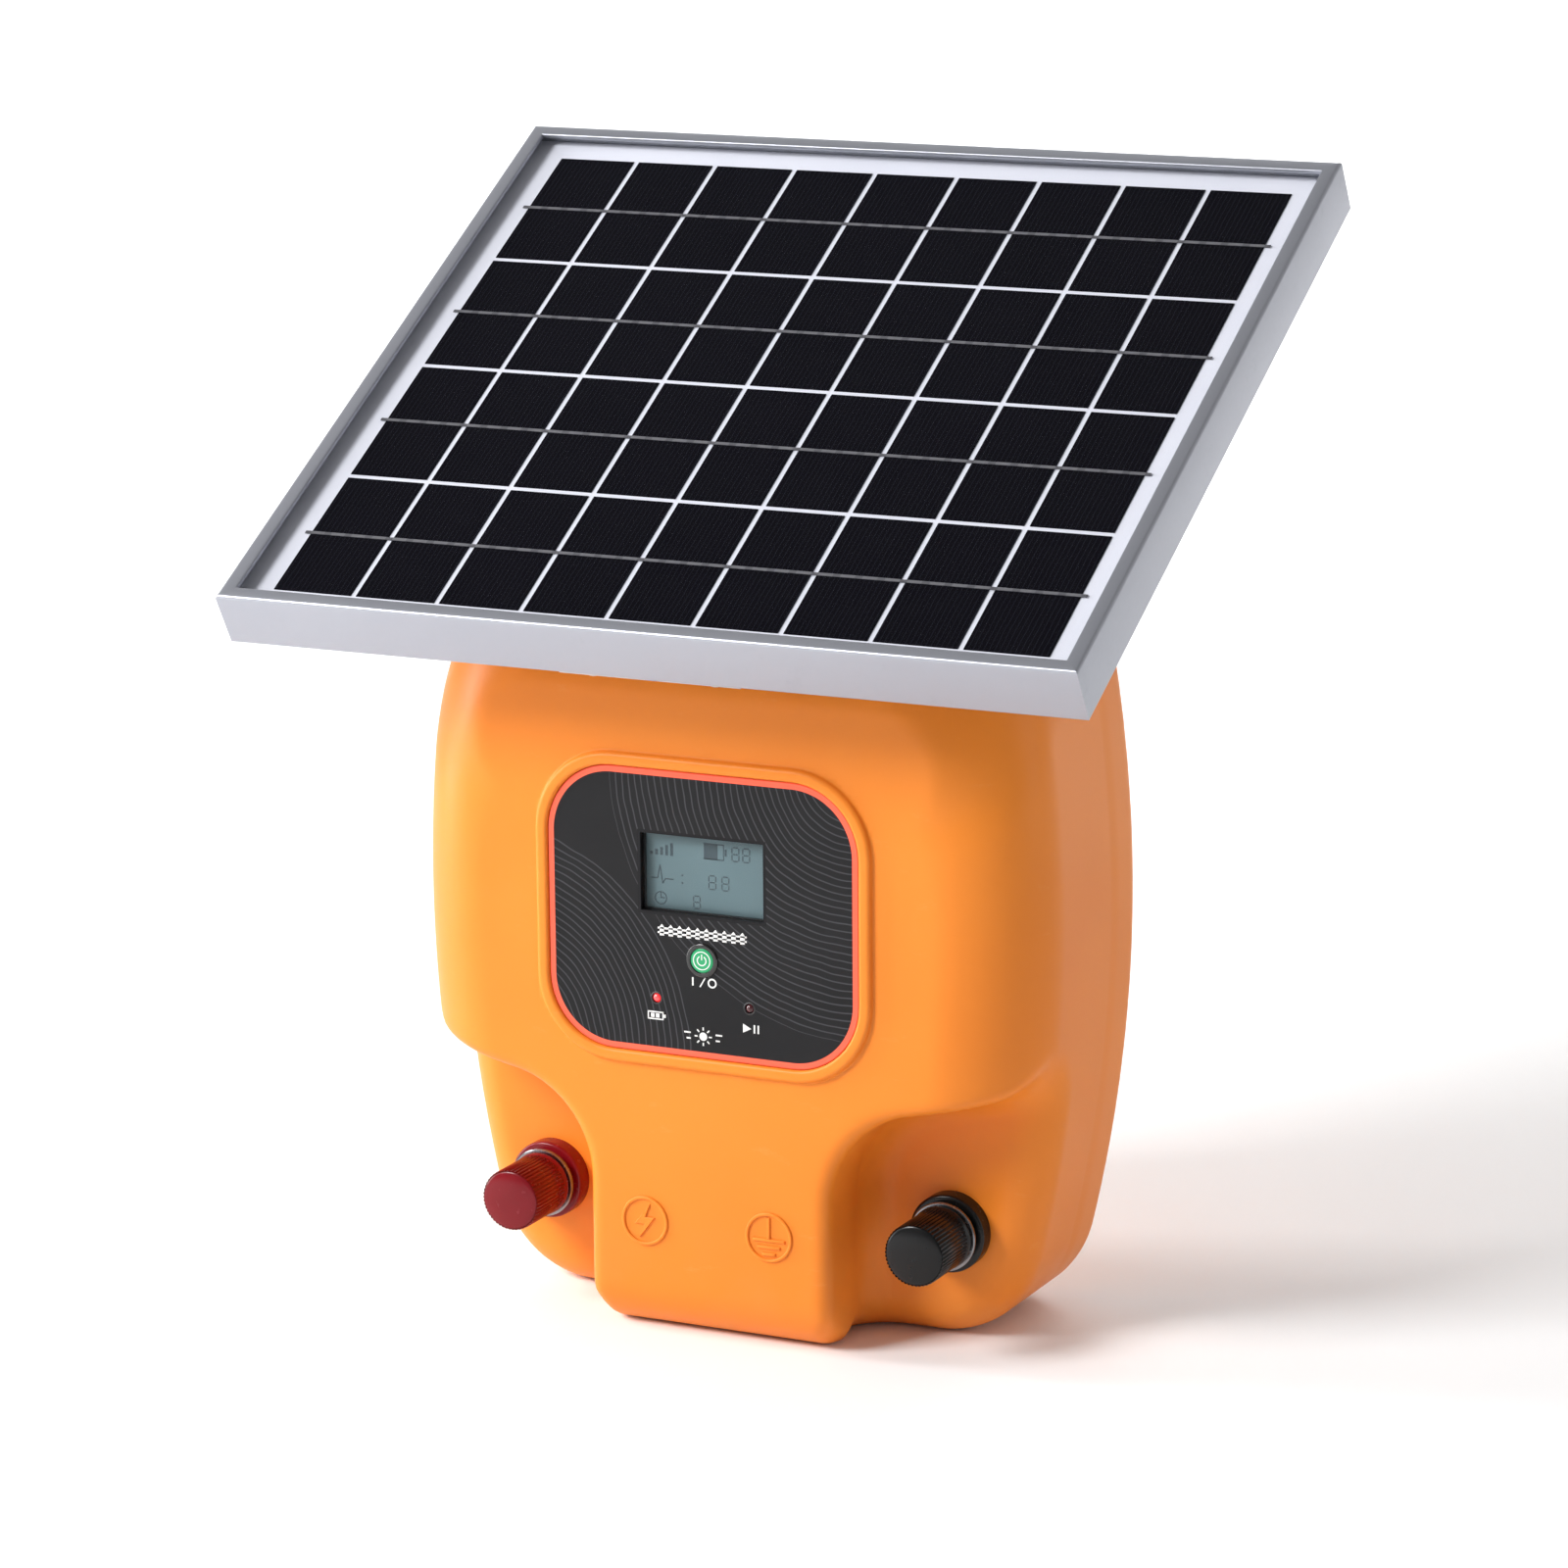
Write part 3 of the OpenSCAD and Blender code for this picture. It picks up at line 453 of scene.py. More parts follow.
def block(low, high):
    x0, y0, z0 = low
    x1, y1, z1 = high
    points = [(x, y, z) for x in (x0, x1) for y in (y0, y1) for z in (z0, z1)]
    return points, [(0, 1, 3, 2), (4, 6, 7, 5), (0, 4, 5, 1), (2, 3, 7, 6), (0, 2, 6, 4), (1, 5, 7, 3)]


def together(*parts):
    points, faces, start = [], [], 0
    for p, f in parts:
        points.append(np.asarray(p, float))
        faces += [tuple(int(i) + start for i in face) for face in f]
        start += len(p)
    return np.concatenate(points), faces


def shaped(made, operation, *parts):
    """made with each part joined to it or cut from it"""
    tools = []
    for points, faces in parts:
        tool = mesh_object("tool", points, faces)
        tools.append(tool)
        step = made.modifiers.new("step", "BOOLEAN")
        step.operation, step.solver, step.object = operation, "MANIFOLD", tool
    mesh = bpy.data.meshes.new_from_object(made.evaluated_get(bpy.context.evaluated_depsgraph_get()))
    made.modifiers.clear()
    made.data = mesh
    for tool in tools:
        bpy.data.objects.remove(tool)
    return made


def round_rect(w, h, r, z, steps=12):
    """Points and outward normals of a rounded rectangle in the front view, from the right and round"""
    points, normals = [], []
    for corner_number in range(4):
        sx = 1 if corner_number in (0, 3) else -1
        sz = 1 if corner_number < 2 else -1
        for i in range(steps + 1):
            a = math.pi / 2 * (corner_number + i / steps)
            points.append((sx * (w / 2 - r) + r * math.cos(a), z + sz * (h / 2 - r) + r * math.sin(a)))
            normals.append((math.cos(a), math.sin(a)))
    return np.array(points), np.array(normals)


def swept(points, normals, profile):
    """A closed ring whose section is the profile, rows of distance outwards and depth"""
    n, m = len(points), len(profile)
    body = [(points[i][0] + normals[i][0] * o, d, points[i][1] + normals[i][1] * o)
            for i in range(n) for o, d in profile]
    faces = [(i * m + j, i * m + (j + 1) % m, (i + 1) % n * m + (j + 1) % m, (i + 1) % n * m + j)
             for i in range(n) for j in range(m)]
    return body, faces


def hoop(x, z, profile, steps=72):
    """A ring turned about the line from front to back at x, z. The profile is rows of radius and depth."""
    angles = np.linspace(0, 2 * math.pi, steps, endpoint=False)
    return swept([(x, z)] * steps, [(math.cos(a), math.sin(a)) for a in angles], profile)


def arc(cx, cy, r, a0, a1, steps):
    return [(cx + r * math.cos(math.radians(a)), cy + r * math.sin(math.radians(a)))
            for a in np.linspace(a0, a1, steps)]


label_z, label_wide, label_tall, label_radius = 134, 103.6, 88, 21.8

pitch, hollow_pitch = 1.45, 3.2
box_x, box_low, box_high = 108, -3, 264
front_half = mesh_object("housing_front", *netted(
    lambda x, y, z: np.maximum(front_body(x, y, z), y - 25), (-box_x, -48, box_low), (box_x, 28, box_high),
    pitch))
rim_profile = [(0.2, face_y + 1.2)] + arc(1.3, rim_y + 1.1, 1.1, 180, 270, 7)
rim_profile += arc(2.7, rim_y + 1.5, 1.5, 270, 350, 8) + arc(5.0, face_y - 0.75, 0.8, 170, 90, 5)
rim_profile += [(5.2, face_y + 1.2)]
points, normals = round_rect(label_wide, label_tall, label_radius, label_z)
rim = swept(points, normals, rim_profile)


def sign_ring(x):
    profile = [(6.8, face_y + 0.5)] + arc(7.15, face_y - 0.3, 0.35, 180, 270, 4)
    profile += arc(7.5, face_y - 0.3, 0.35, 270, 360, 4) + [(7.85, face_y + 0.5)]
    return hoop(x, post_z, profile)


def raised(outline, low, top, ease):
    """A flat shape standing off the face towards the front, its top edge eased"""
    p = np.array(outline, float)
    if sum(a[0] * b[1] - b[0] * a[1] for a, b in zip(p, np.roll(p, -1, 0))) < 0:
        p = p[::-1]
    ahead_edge, behind = np.roll(p, -1, 0) - p, p - np.roll(p, 1, 0)
    n1 = np.stack([-ahead_edge[:, 1], ahead_edge[:, 0]], 1) / np.linalg.norm(ahead_edge, axis=1)[:, None]
    n0 = np.stack([-behind[:, 1], behind[:, 0]], 1) / np.linalg.norm(behind, axis=1)[:, None]
    inward = (n0 + n1) / np.maximum(1 + (n0 * n1).sum(1), 0.35)[:, None]
    rows = [(p, low), (p, top + ease), (p + inward * ease * 0.35, top + ease * 0.35),
            (p + inward * ease, top)]
    body, faces = stacked([[(q[0], d, q[1]) for q in ring] for ring, d in rows])
    return body, [tuple(reversed(f)) for f in faces]


sign_x = 21
bolt = [(1.8, 5.4), (-3.5, -1.1), (-0.3, -1.1), (-1.8, -5.4), (3.5, 1.3), (0.3, 1.3)]
bars = [[(20.5, 35.6), (21.5, 35.6), (21.5, 42.2), (20.5, 42.2)]] + [
    [(15.6 + 1.6 * k, 34.6 - 2.2 * k), (26.4 - 1.6 * k, 34.6 - 2.2 * k), (26.4 - 1.6 * k, 35.6 - 2.2 * k),
     (15.6 + 1.6 * k, 35.6 - 2.2 * k)] for k in range(3)]
signs = [sign_ring(-sign_x), sign_ring(sign_x)]
signs += [raised(b, face_y + 0.5, face_y - 0.6, 0.25)
          for b in [[(x - sign_x, z + post_z) for x, z in bolt]] + bars]

hollow = netted(lambda x, y, z: np.maximum(front_hollow(x, y, z), y - 30), (-box_x, -48, box_low),
                (box_x, 36, box_high), hollow_pitch)
shaped(front_half, "UNION", rim, *signs)
shaped(front_half, "DIFFERENCE", hollow, block((-120, seam_y, -20), (120, 60, 280)))

screw_places = [(s * x, z, y0) for x, z, y0 in ((92, 118, -5), (86, 205, 4), (50, 12, 4)) for s in (-1, 1)]
bosses = [rod(x, z, y0, seam_y, 5, 24) for x, z, y0 in screw_places]
bosses += [block((min(s * 92, s * 101.6), -5, 116.7), (max(s * 92, s * 101.6), seam_y, 119.3))
           for s in (-1, 1)]
bosses += [block((min(s * 86, s * 93), 4, 203.7), (max(s * 86, s * 93), seam_y, 206.3)) for s in (-1, 1)]
bosses += [block((s * 50 - 1.3, 8, 1.8), (s * 50 + 1.3, seam_y, 12)) for s in (-1, 1)]
bosses += [rod(s * 42, label_z + t * 34, face_y + 2.3, -35.3, 3, 24) for s in (-1, 1) for t in (-1, 1)]
lcd_wide, lcd_tall, lcd_z, button_z, lamp_x, lamp_z = 41, 24, 146.2, 120.5, 15.6, 107.2


def display_hole(spare):
    return block((-lcd_wide / 2 - spare, rim_y - 3, lcd_z - lcd_tall / 2 - spare),
                 (lcd_wide / 2 + spare, face_y + 4, lcd_z + lcd_tall / 2 + spare))


openings = [rod(0, button_z, rim_y - 3, face_y + 4, 4.65)]
openings += [rod(s * lamp_x, lamp_z, rim_y - 3, face_y + 4, 1.6, 24) for s in (-1, 1)]
holes = [display_hole(1), *openings]
holes += [rod(s * post_x, post_z, floor_y - 2, floor_y + wall + 2, 3.05) for s in (-1, 1)]
holes += [rod(x, z, seam_y - 16, seam_y + 1, 1.6, 24) for x, z, _ in screw_places]
seat = round_rect(label_wide + 0.4, label_tall + 0.4, label_radius + 0.2, label_z)[0]
seat_cut = stacked([[(p[0], d, p[1]) for p in seat] for d in (face_y + 0.1, rim_y - 2)])
shaped(front_half, "UNION", *bosses)
shaped(front_half, "DIFFERENCE", seat_cut, *holes)
shade(front_half, 32)

orange = Finish("orange_abs")
x, y, z = orange.axes()
grain = orange.noise(1400, 2)
drift = orange.noise(9, 3)
scuffs = orange.noise(60, 5, orange.turned(stretch=(1, 1, 3)), 0.7).ramp(0.62, 0.75)
dust = (1 - z.ramp(0.0, 0.05)) * orange.noise(45, 4).ramp(0.4, 0.7)
shade_colour = orange.mix(drift.ramp(0.3, 0.7), rgb(238, 137, 45), rgb(233, 130, 39))
shade_colour = orange.mix(scuffs * 0.25, shade_colour, rgb(240, 158, 84))
shade_colour = orange.mix(dust * 0.25, shade_colour, rgb(214, 140, 70))
orange.skin(shade_colour, 0.36 + drift * 0.08 + scuffs * 0.12 + dust * 0.1,
            Normal=orange.bump(grain, 0.06, 0.0002, orange.bump(drift, 0.1, 0.0006)), Specular_IOR_Level=0.25)
painted(front_half, orange.material)
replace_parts(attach(front_half, "housing"), "front_shell")

# The rear half is the plain tub that closes the case: screw towers with counterbores, posts for the
# main board, four towers for the brass inserts and a thick pad under the bracket. At the seam it is
# 0.3 mm smaller than the front half.

rear_half = mesh_object("housing_rear", *netted(
    lambda x, y, z: np.maximum(rear_body(x, y, z), 19 - y), (-box_x, 16, box_low), (box_x, 48, box_high),
    pitch))
rear_hollow = netted(lambda x, y, z: np.maximum(whole_body(x, y, z) + wall, 12 - y), (-box_x, 8, box_low),
                     (box_x, 48, box_high), hollow_pitch)
shaped(rear_half, "DIFFERENCE", rear_hollow, block((-120, -60, -20), (120, seam_y, 280)))
screw_seat = 36
board_posts = [(s * 62, z) for s in (-1, 1) for z in (120, 196)]
insert_places = [(s * 40, z) for s in (-1, 1) for z in (80, 180)]
towers = [rod(x, z, seam_y, back_y - 1, 5, 24) for x, z, _ in screw_places]
towers += [rod(x, z, 31, back_y - 1.8, 3.5, 24) for x, z in board_posts]
towers += [rod(x, z, back_y - 11, back_y - 1.8, 5, 24) for x, z in insert_places]
towers += [block((-32, seam_y + 2, tall - 9), (32, back_y - 6, tall - 1))]
drilled = [rod(x, z, seam_y - 1, back_y + 1, 1.9, 24) for x, z, _ in screw_places]
drilled += [rod(x, z, screw_seat, back_y + 1, 3.8, 36) for x, z, _ in screw_places]
drilled += [rod(x, z, 29, back_y - 3.8, 1.3, 16) for x, z in board_posts]
drilled += [rod(x, z, back_y - 9.5, back_y + 1, 3.2, 36) for x, z in insert_places]
drilled += [lathe([(1.95, tall - 7.5), (1.95, tall + 3)], (x, 31, 0), "z", 24) for x in (-20, 0, 20)]
drilled += [lathe([(6.1, tall - 9), (6.1, tall + 3)], (50, 32, 0), "z", 36)]
shaped(rear_half, "UNION", *towers)
shaped(rear_half, "DIFFERENCE", *drilled)
shade(rear_half, 32)
painted(rear_half, orange.material)
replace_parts(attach(rear_half, "housing"), "rear_shell")

# ---------------------------------------------------------------- seal, screws and inserts
# A grey rubber cord lies in the groove between the halves. Six zinc-plated cross-slot screws pull them
# together from behind. Four brass inserts are pressed into the back for a bracket or wall plate.


def dress(node, finish):
    """A CAD node that keeps its shape and takes a finish"""
    return painted(frame["nodes"][node], finish)


def eased(node, width, finish, segments=2, angle=28):
    """A copy of a CAD node with every crisp edge rounded, as a bent, cast or moulded part has"""
    source = frame["nodes"][node]
    mesh = source.data.copy()
    made = bpy.data.objects.new(node + "_eased", mesh)
    bpy.context.scene.collection.objects.link(made)
    work = bmesh.new()
    work.from_mesh(mesh)
    bmesh.ops.remove_doubles(work, verts=work.verts, dist=2e-6)
    bmesh.ops.dissolve_limit(work, angle_limit=math.radians(1), verts=work.verts, edges=work.edges)
    work.to_mesh(mesh)
    work.free()
    bevel = made.modifiers.new("ease", "BEVEL")
    bevel.width, bevel.segments = width * MM, segments
    bevel.limit_method, bevel.angle_limit = "ANGLE", math.radians(angle)
    bevel.use_clamp_overlap = True
    made.data = bpy.data.meshes.new_from_object(made.evaluated_get(bpy.context.evaluated_depsgraph_get()))
    made.modifiers.clear()
    shade(made, 35)
    painted(made, finish)
    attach(made, body_of(source)[0])
    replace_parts(made, node)
    return made


def tree_of(name, inputs):
    """A Geometry Nodes tree with named inputs: the tree, those inputs, its node maker and its last nodes"""
    tree = bpy.data.node_groups.new(name, "GeometryNodeTree")
    tree.interface.new_socket("Geometry", in_out="OUTPUT", socket_type="NodeSocketGeometry")
    sockets = {"Geometry": tree.interface.new_socket("Geometry", in_out="INPUT",
                                                     socket_type="NodeSocketGeometry")}
    for label, kind in {**inputs, "Finish": "Material"}.items():
        sockets[label] = tree.interface.new_socket(label, in_out="INPUT", socket_type="NodeSocket" + kind)
    given = tree.nodes.new("NodeGroupInput").outputs

    def geo(kind, settings=None, *values, output=0, **named):
        return wired(tree, kind, settings, values, named).outputs[output]

    def ending(grown_parts):
        real = geo("GeometryNodeRealizeInstances", None, grown_parts)
        coloured = geo("GeometryNodeSetMaterial", Geometry=real, Material=given["Finish"])
        wired(tree, "NodeGroupOutput", None, [coloured], {})

    return tree, given, geo, ending, sockets


def grown(made, tree, sockets, values, sharp=35):
    """made after the tree has run on it, as a plain mesh"""
    step = made.modifiers.new("grow", "NODES")
    step.node_group = tree
    for label, value in values.items():
        step[sockets[label].identifier] = value
    made.data = bpy.data.meshes.new_from_object(made.evaluated_get(bpy.context.evaluated_depsgraph_get()))
    made.modifiers.clear()
    shade(made, sharp)
    return made


copies, given, geo, ending, copy_inputs = tree_of("copies_at_points", {"Model": "Object"})
model = geo("GeometryNodeObjectInfo", Object=given["Model"], output="Geometry")
ending(geo("GeometryNodeInstanceOnPoints", Points=given["Geometry"], Instance=model))


def set_of(name, node, part, places, finish):
    """Like parts at several places, made from one model part"""
    pattern = mesh_object("pattern", *part)
    made = mesh_object(name, places, [])
    grown(made, copies, copy_inputs, {"Model": pattern, "Finish": finish})
    bpy.data.objects.remove(pattern)
    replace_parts(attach(made, body_of(frame["nodes"][node])[0]), node)
    return made


def slotted(head_r, head_t, shank_r, length):
    """A pan-head screw along Y: shank, thread and a cross slot in its domed head. It points towards -Y."""
    turns = int(length / 0.55)
    profile = [(0, -length)] + [(shank_r * 0.55, -length + 0.2)]
    for k in range(turns):
        d = -length + 0.5 + k * (length - 0.6) / turns
        profile += [(shank_r * 0.86, d), (shank_r, d + 0.22)]
    profile += [(shank_r * 0.9, -0.05), (head_r - 0.15, 0), (head_r, 0.15), (head_r, head_t * 0.45)]
    profile += [(head_r * math.cos(a), head_t * 0.45 + head_t * 0.55 * math.sin(a))
                for a in np.linspace(0.2, 1.4, 6)]
    profile += [(0, head_t)]
    screw = mesh_object("screw", *lathe(profile, (0, 0, 0), "y", 28))
    bar = head_r * 0.62
    shaped(screw, "DIFFERENCE", block((-bar, head_t * 0.4, -head_r * 0.13), (bar, head_t + 1, head_r * 0.13)),
           block((-head_r * 0.13, head_t * 0.4, -bar), (head_r * 0.13, head_t + 1, bar)))
    points = np.array([v.co for v in screw.data.vertices]) / MM
    faces = [tuple(p.vertices) for p in screw.data.polygons]
    bpy.data.objects.remove(screw)
    return points, faces


rubber = Finish("grey_rubber")
rubber.skin(rubber.mix(rubber.noise(300), rgb(58, 58, 60), rgb(70, 70, 72)), 0.7,
            Normal=rubber.bump(rubber.noise(900), 0.2, 0.0002))
zinc = mottled("zinc_plate", rgb(186, 188, 190), rgb(214, 214, 210), 0.22, 0.16, 350, 3, 1600, 0.08,
               Metallic=1.0)
brass = Finish("turned_brass")
cloud = brass.noise(300, 3)
brass.skin(brass.mix(cloud, rgb(190, 150, 70), rgb(214, 178, 98)), 0.25 + cloud * 0.15, Metallic=1.0,
           Normal=brass.bump(brass.noise(2000, 2, brass.turned(stretch=(1, 6, 1))), 0.1, 0.0001))
dress("case_gasket", rubber.material)
set_of("case_screw_set", "case_screws", slotted(3.4, 2.4, 1.55, 26),
       [(x, screw_seat, z) for x, z, _ in screw_places], zinc.material)
eased("mount_inserts", 0.2, brass.material)

# ---------------------------------------------------------------- label, display and controls
# A matt black polycarbonate label with a coral edge line and fine grey contour lines, printed from behind
# and stuck down inside the rim. Its prints are pictograms. A small grey-green display shows through it.

label_front = face_y + 0.1 - 1
outline, _ = round_rect(label_wide, label_tall, label_radius, label_z, 20)
inner, _ = round_rect(label_wide - 0.5, label_tall - 0.5, label_radius - 0.25, label_z, 20)
label = mesh_object("printed_label", *stacked([[(p[0], d, p[1]) for p in ring] for ring, d in (
    (outline, label_front + 1), (outline, label_front + 0.25), (inner, label_front))]))
outward(label)
shaped(label, "DIFFERENCE", display_hole(0), *openings)
shade(label, 20)

film = Finish("printed_film")
u, _, v = [c * 1000 for c in film.axes(film.seated((0, 0, label_z * MM)))]
sway = (film.noise(55, 2) - 0.5) * 2.6


def root(value):
    return value.math("SQRT", value)


def contours(u0, v0, stretch, reach, spacing):
    """Fine rings about a point, out to reach, as a mask"""
    across_u, across_v = (u - u0) * stretch, v - v0
    away = root(across_u * across_u + across_v * across_v) + sway
    line = abs((away / spacing) % 1.0 - 0.5)
    return (1 - line.ramp(0.05, 0.13)) * (away < reach)


lines = contours(48.5, 46.0, 1.0, 79.5, 2.24).most(contours(-68.4, -45.0, 1.05, 67.5, 2.2))
qx, qz = abs(u) - (label_wide / 2 - label_radius), abs(v) - (label_tall / 2 - label_radius)
px, pz = qx.most(0.0), qz.most(0.0)
edge = root(px * px + pz * pz) + qx.most(qz).least(0.0)
border = edge.ramp(label_radius - 2.05, label_radius - 1.9)
frame_mask = 1 - (abs(u) - lcd_wide / 2).most(abs(v - (lcd_z - label_z)) - lcd_tall / 2).ramp(0.9, 1.05)
speck = film.noise(2500, 1)
ink = film.mix(film.noise(25).ramp(0.3, 0.7), rgb(20, 20, 22), rgb(25, 25, 27))
ink = film.mix(lines * 0.85, ink, rgb(66, 66, 70))
ink = film.mix(frame_mask, ink, rgb(18, 17, 20))
ink = film.mix(border, ink, rgb(255, 104, 78))
film.skin(ink, 0.42 + speck * 0.08 - border * 0.08, Specular_IOR_Level=0.22,
          Normal=film.bump(speck, 0.05, 0.00005))
painted(label, film.material)
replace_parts(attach(label, "housing"), "face_label")


def bar(x0, z0, x1, z1, thick):
    """A straight stroke from one point to the other"""
    dx, dz = x1 - x0, z1 - z0
    length = math.hypot(dx, dz)
    ox, oz = -dz / length * thick / 2, dx / length * thick / 2
    return [(x0 + ox, z0 + oz), (x0 - ox, z0 - oz), (x1 - ox, z1 - oz), (x1 + ox, z1 + oz)]


def ring_piece(x, z, r, thick, low, top, start=0.0, end=360.0, steps=40):
    """A flat ring, or a part of one, standing off a face"""
    closed = end - start >= 359.9
    angles = np.radians(np.linspace(start, end, steps + 1))[:steps if closed else steps + 1]
    rings = [(r - thick / 2, low), (r + thick / 2, low), (r + thick / 2, top), (r - thick / 2, top)]
    body = [(x + q * math.cos(a), d, z + q * math.sin(a)) for a in angles for q, d in rings]
    count = len(angles)
    faces = [(4 * i + k, 4 * i + (k + 1) % 4, 4 * ((i + 1) % count) + (k + 1) % 4, 4 * ((i + 1) % count) + k)
             for i in range(count if closed else count - 1) for k in range(4)]
    if not closed:
        faces += [(3, 2, 1, 0), tuple(4 * (count - 1) + k for k in range(4))]
    return body, [tuple(reversed(f)) for f in faces]


def strokes(shapes, low, top):
    return together(*[raised(s, low, top, 0.02) for s in shapes])


pickets = [[(x - 0.75, -1.7), (x + 0.75, -1.7), (x + 0.75, 1.0), (x, 1.9), (x - 0.75, 1.0)]
           for x in np.linspace(-13.5, 13.5, 10)]
rails = [bar(-14.9, h, 14.9, h, 0.55) for h in (-0.8, 0.6)]
heading = [[(x, z + 128.6) for x, z in s] for s in pickets + rails]
onoff = [(-3.3, 112.4, -3.3, 115.0, 0.55), (-0.9, 112.2, 0.9, 115.2, 0.4)]
cell = [(-18.7, 100.6, -13.3, 100.6, 0.4), (-18.7, 102.8, -13.3, 102.8, 0.4),
        (-18.5, 100.5, -18.5, 102.9, 0.4), (-13.5, 100.5, -13.5, 102.9, 0.4),
        (-12.9, 101.2, -12.9, 102.2, 0.6), (-17.6, 101.7, -16.4, 101.7, 1.3),
        (-15.9, 101.7, -14.7, 101.7, 1.3)]
running = [(17.2, 99.7, 17.2, 102.3, 0.55), (18.5, 99.7, 18.5, 102.3, 0.55)]
arrow = [(13.4, 99.6), (16.2, 101.0), (13.4, 102.4)]
sun = [(1.9 * math.cos(a), 96.8 + 1.9 * math.sin(a), 2.9 * math.cos(a), 96.8 + 2.9 * math.sin(a), 0.45)
       for a in np.linspace(0, 2 * math.pi, 8, endpoint=False)]
sun += [(s * 4.2, 96.8 + h, s * w, 96.8 + h, 0.5) for s in (-1, 1) for h, w in ((0.9, 6.4), (-0.9, 5.6))]
printed = heading + [bar(*b) for b in onoff + cell] + [arrow] + [bar(*b) for b in running + sun]
label_ink = (label_front + 0.02, label_front - 0.03)
marks = together(strokes(printed, *label_ink), ring_piece(3.2, 113.7, 1.25, 0.5, *label_ink),
                 rod(0, 96.8, *label_ink[::-1], 1.3, 24))
prints = outward(mesh_object("white_prints", *marks, sharp=30))
ink_white = Finish("white_ink")
ink_white.skin(ink_white.mix(ink_white.noise(900), rgb(226, 226, 224), rgb(242, 242, 240)), 0.5)
prints.data.materials.append(ink_white.material)
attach(prints, "housing")

# The display is a reflective liquid-crystal pane in a black well, with a clear window bonded behind the
# label. Its characters are seven-stroke digits, a battery and level bars.

well = mesh_object("display_well", *together(
    block((-24, face_y + 3.0, lcd_z - 16), (24, -35.3, lcd_z + 16)),
    swept(*round_rect(lcd_wide + 0.6, lcd_tall + 0.6, 0.4, lcd_z, 3),
          [(-0.45, face_y + 3.0), (-0.45, face_y + 1.6), (0.6, face_y + 1.6), (0.6, face_y + 3.0)])),
          sharp=30)
moulded_black = mottled("moulded_black", rgb(26, 26, 28), rgb(36, 36, 38), 0.42, 0.15, 120, 3, 1800, 0.12)
well.data.materials.append(moulded_black.material)
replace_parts(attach(well, "housing"), "display_module")

pane_y = face_y + 2.9
pane = mesh_object("lcd_pane", *block((-lcd_wide / 2 + 0.2, pane_y, lcd_z - lcd_tall / 2 + 0.2),
                                      (lcd_wide / 2 - 0.2, pane_y + 0.12, lcd_z + lcd_tall / 2 - 0.2)))
crystal = Finish("lcd_pane")
u, _, v = [c * 1000 for c in crystal.axes(crystal.seated((0, 0, lcd_z * MM)))]
glow = crystal.noise(40, 2)
inset = (lcd_wide / 2 - abs(u)).least(lcd_tall / 2 - abs(v))
tint = crystal.mix(glow, rgb(104, 132, 140), rgb(118, 144, 150))
# Painted shade: the pane is darkened within 2.4 mm of its edges, where the black well shades it.
tint = crystal.mix((1 - inset.ramp(0.2, 2.4)) * 0.4, tint, rgb(60, 78, 84))
dots = abs((u / 0.32) % 1.0 - 0.5).most(abs((v / 0.32) % 1.0 - 0.5)).ramp(0.42, 0.49)
tint = crystal.mix(dots * 0.06, tint, rgb(80, 100, 106))
# Painted light: the reflective pane also glows faintly in its own tint, with no light behind it.
crystal.skin(tint, 0.35 + glow * 0.1, Emission_Color=tint, Emission_Strength=0.05)
pane.data.materials.append(crystal.material)
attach(pane, "housing")


def digit(x, z, w=2.3, h=4.2, t=0.42):
    """A seven-stroke digit with every stroke lit, its lower left corner at x, z"""
    middle, gap = h / 2, 0.2
    ends = [(0.25, k * middle, w - 0.25, k * middle) for k in range(3)]
    ends += [(u, low + gap, u, low + middle - gap) for u in (0, w) for low in (0, middle)]
    return [(x + a, z + b, x + c, z + d, t) for a, b, c, d in ends]


chars = [(-18.6 + 1.7 * k, 4.6, -18.6 + 1.7 * k, 5.6 + 0.75 * k, 1.0) for k in range(5)]
chars += [(-1.2, 9.6, 5.6, 9.6, 0.35), (-1.2, 4.9, 5.6, 4.9, 0.35), (5.6, 4.75, 5.6, 9.75, 0.35),
          (6.3, 6.2, 6.3, 8.4, 0.7), (1.3, 4.75, 1.3, 9.75, 4.6)]
chars += digit(8.4, 5.0) + digit(12.0, 5.0)
pulse = [(-18.8, -2.6), (-16.6, -2.6), (-15.8, 1.6), (-14.9, -4.2), (-14.1, -2.6), (-11.2, -2.6)]
chars += [(*a, *b, 0.42) for a, b in zip(pulse, pulse[1:])]
chars += [(-8.6, -1.0, -8.0, -1.0, 0.6), (-8.6, -3.4, -8.0, -3.4, 0.6)]
chars += digit(0.6, -4.4) + digit(5.0, -4.4)
chars += [(-15.6, -8.6, -15.6, -6.9, 0.4), (-15.6, -8.6, -14.3, -8.6, 0.4)]
chars += digit(-4.6, -10.8, 2.2, 3.8)
chars = [bar(a, lcd_z + b, c, lcd_z + d, t) for a, b, c, d, t in chars]
pane_ink = (pane_y + 0.02, pane_y - 0.03)
characters = outward(mesh_object("lcd_characters", *together(
    strokes(chars, *pane_ink), ring_piece(-15.6, lcd_z - 8.7, 1.9, 0.4, *pane_ink))))
char_ink = Finish("lcd_character")
char_ink.skin(char_ink.mix(char_ink.noise(700), rgb(66, 84, 92), rgb(78, 96, 104)), 0.45)
characters.data.materials.append(char_ink.material)
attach(characters, "housing")

window_clear = Finish("clear_window")
haze = window_clear.noise(30, 3)
window_clear.skin(rgb(20, 26, 28), 0.08 + haze * 0.05, Alpha=0.1 + haze * 0.03, Specular_IOR_Level=0.5)
dress("display_window", window_clear.material)

# The button is a glossy black bezel with a green cap that moves 1 mm against the switch on the display
# board. A white ring and a standby sign are printed on the cap.

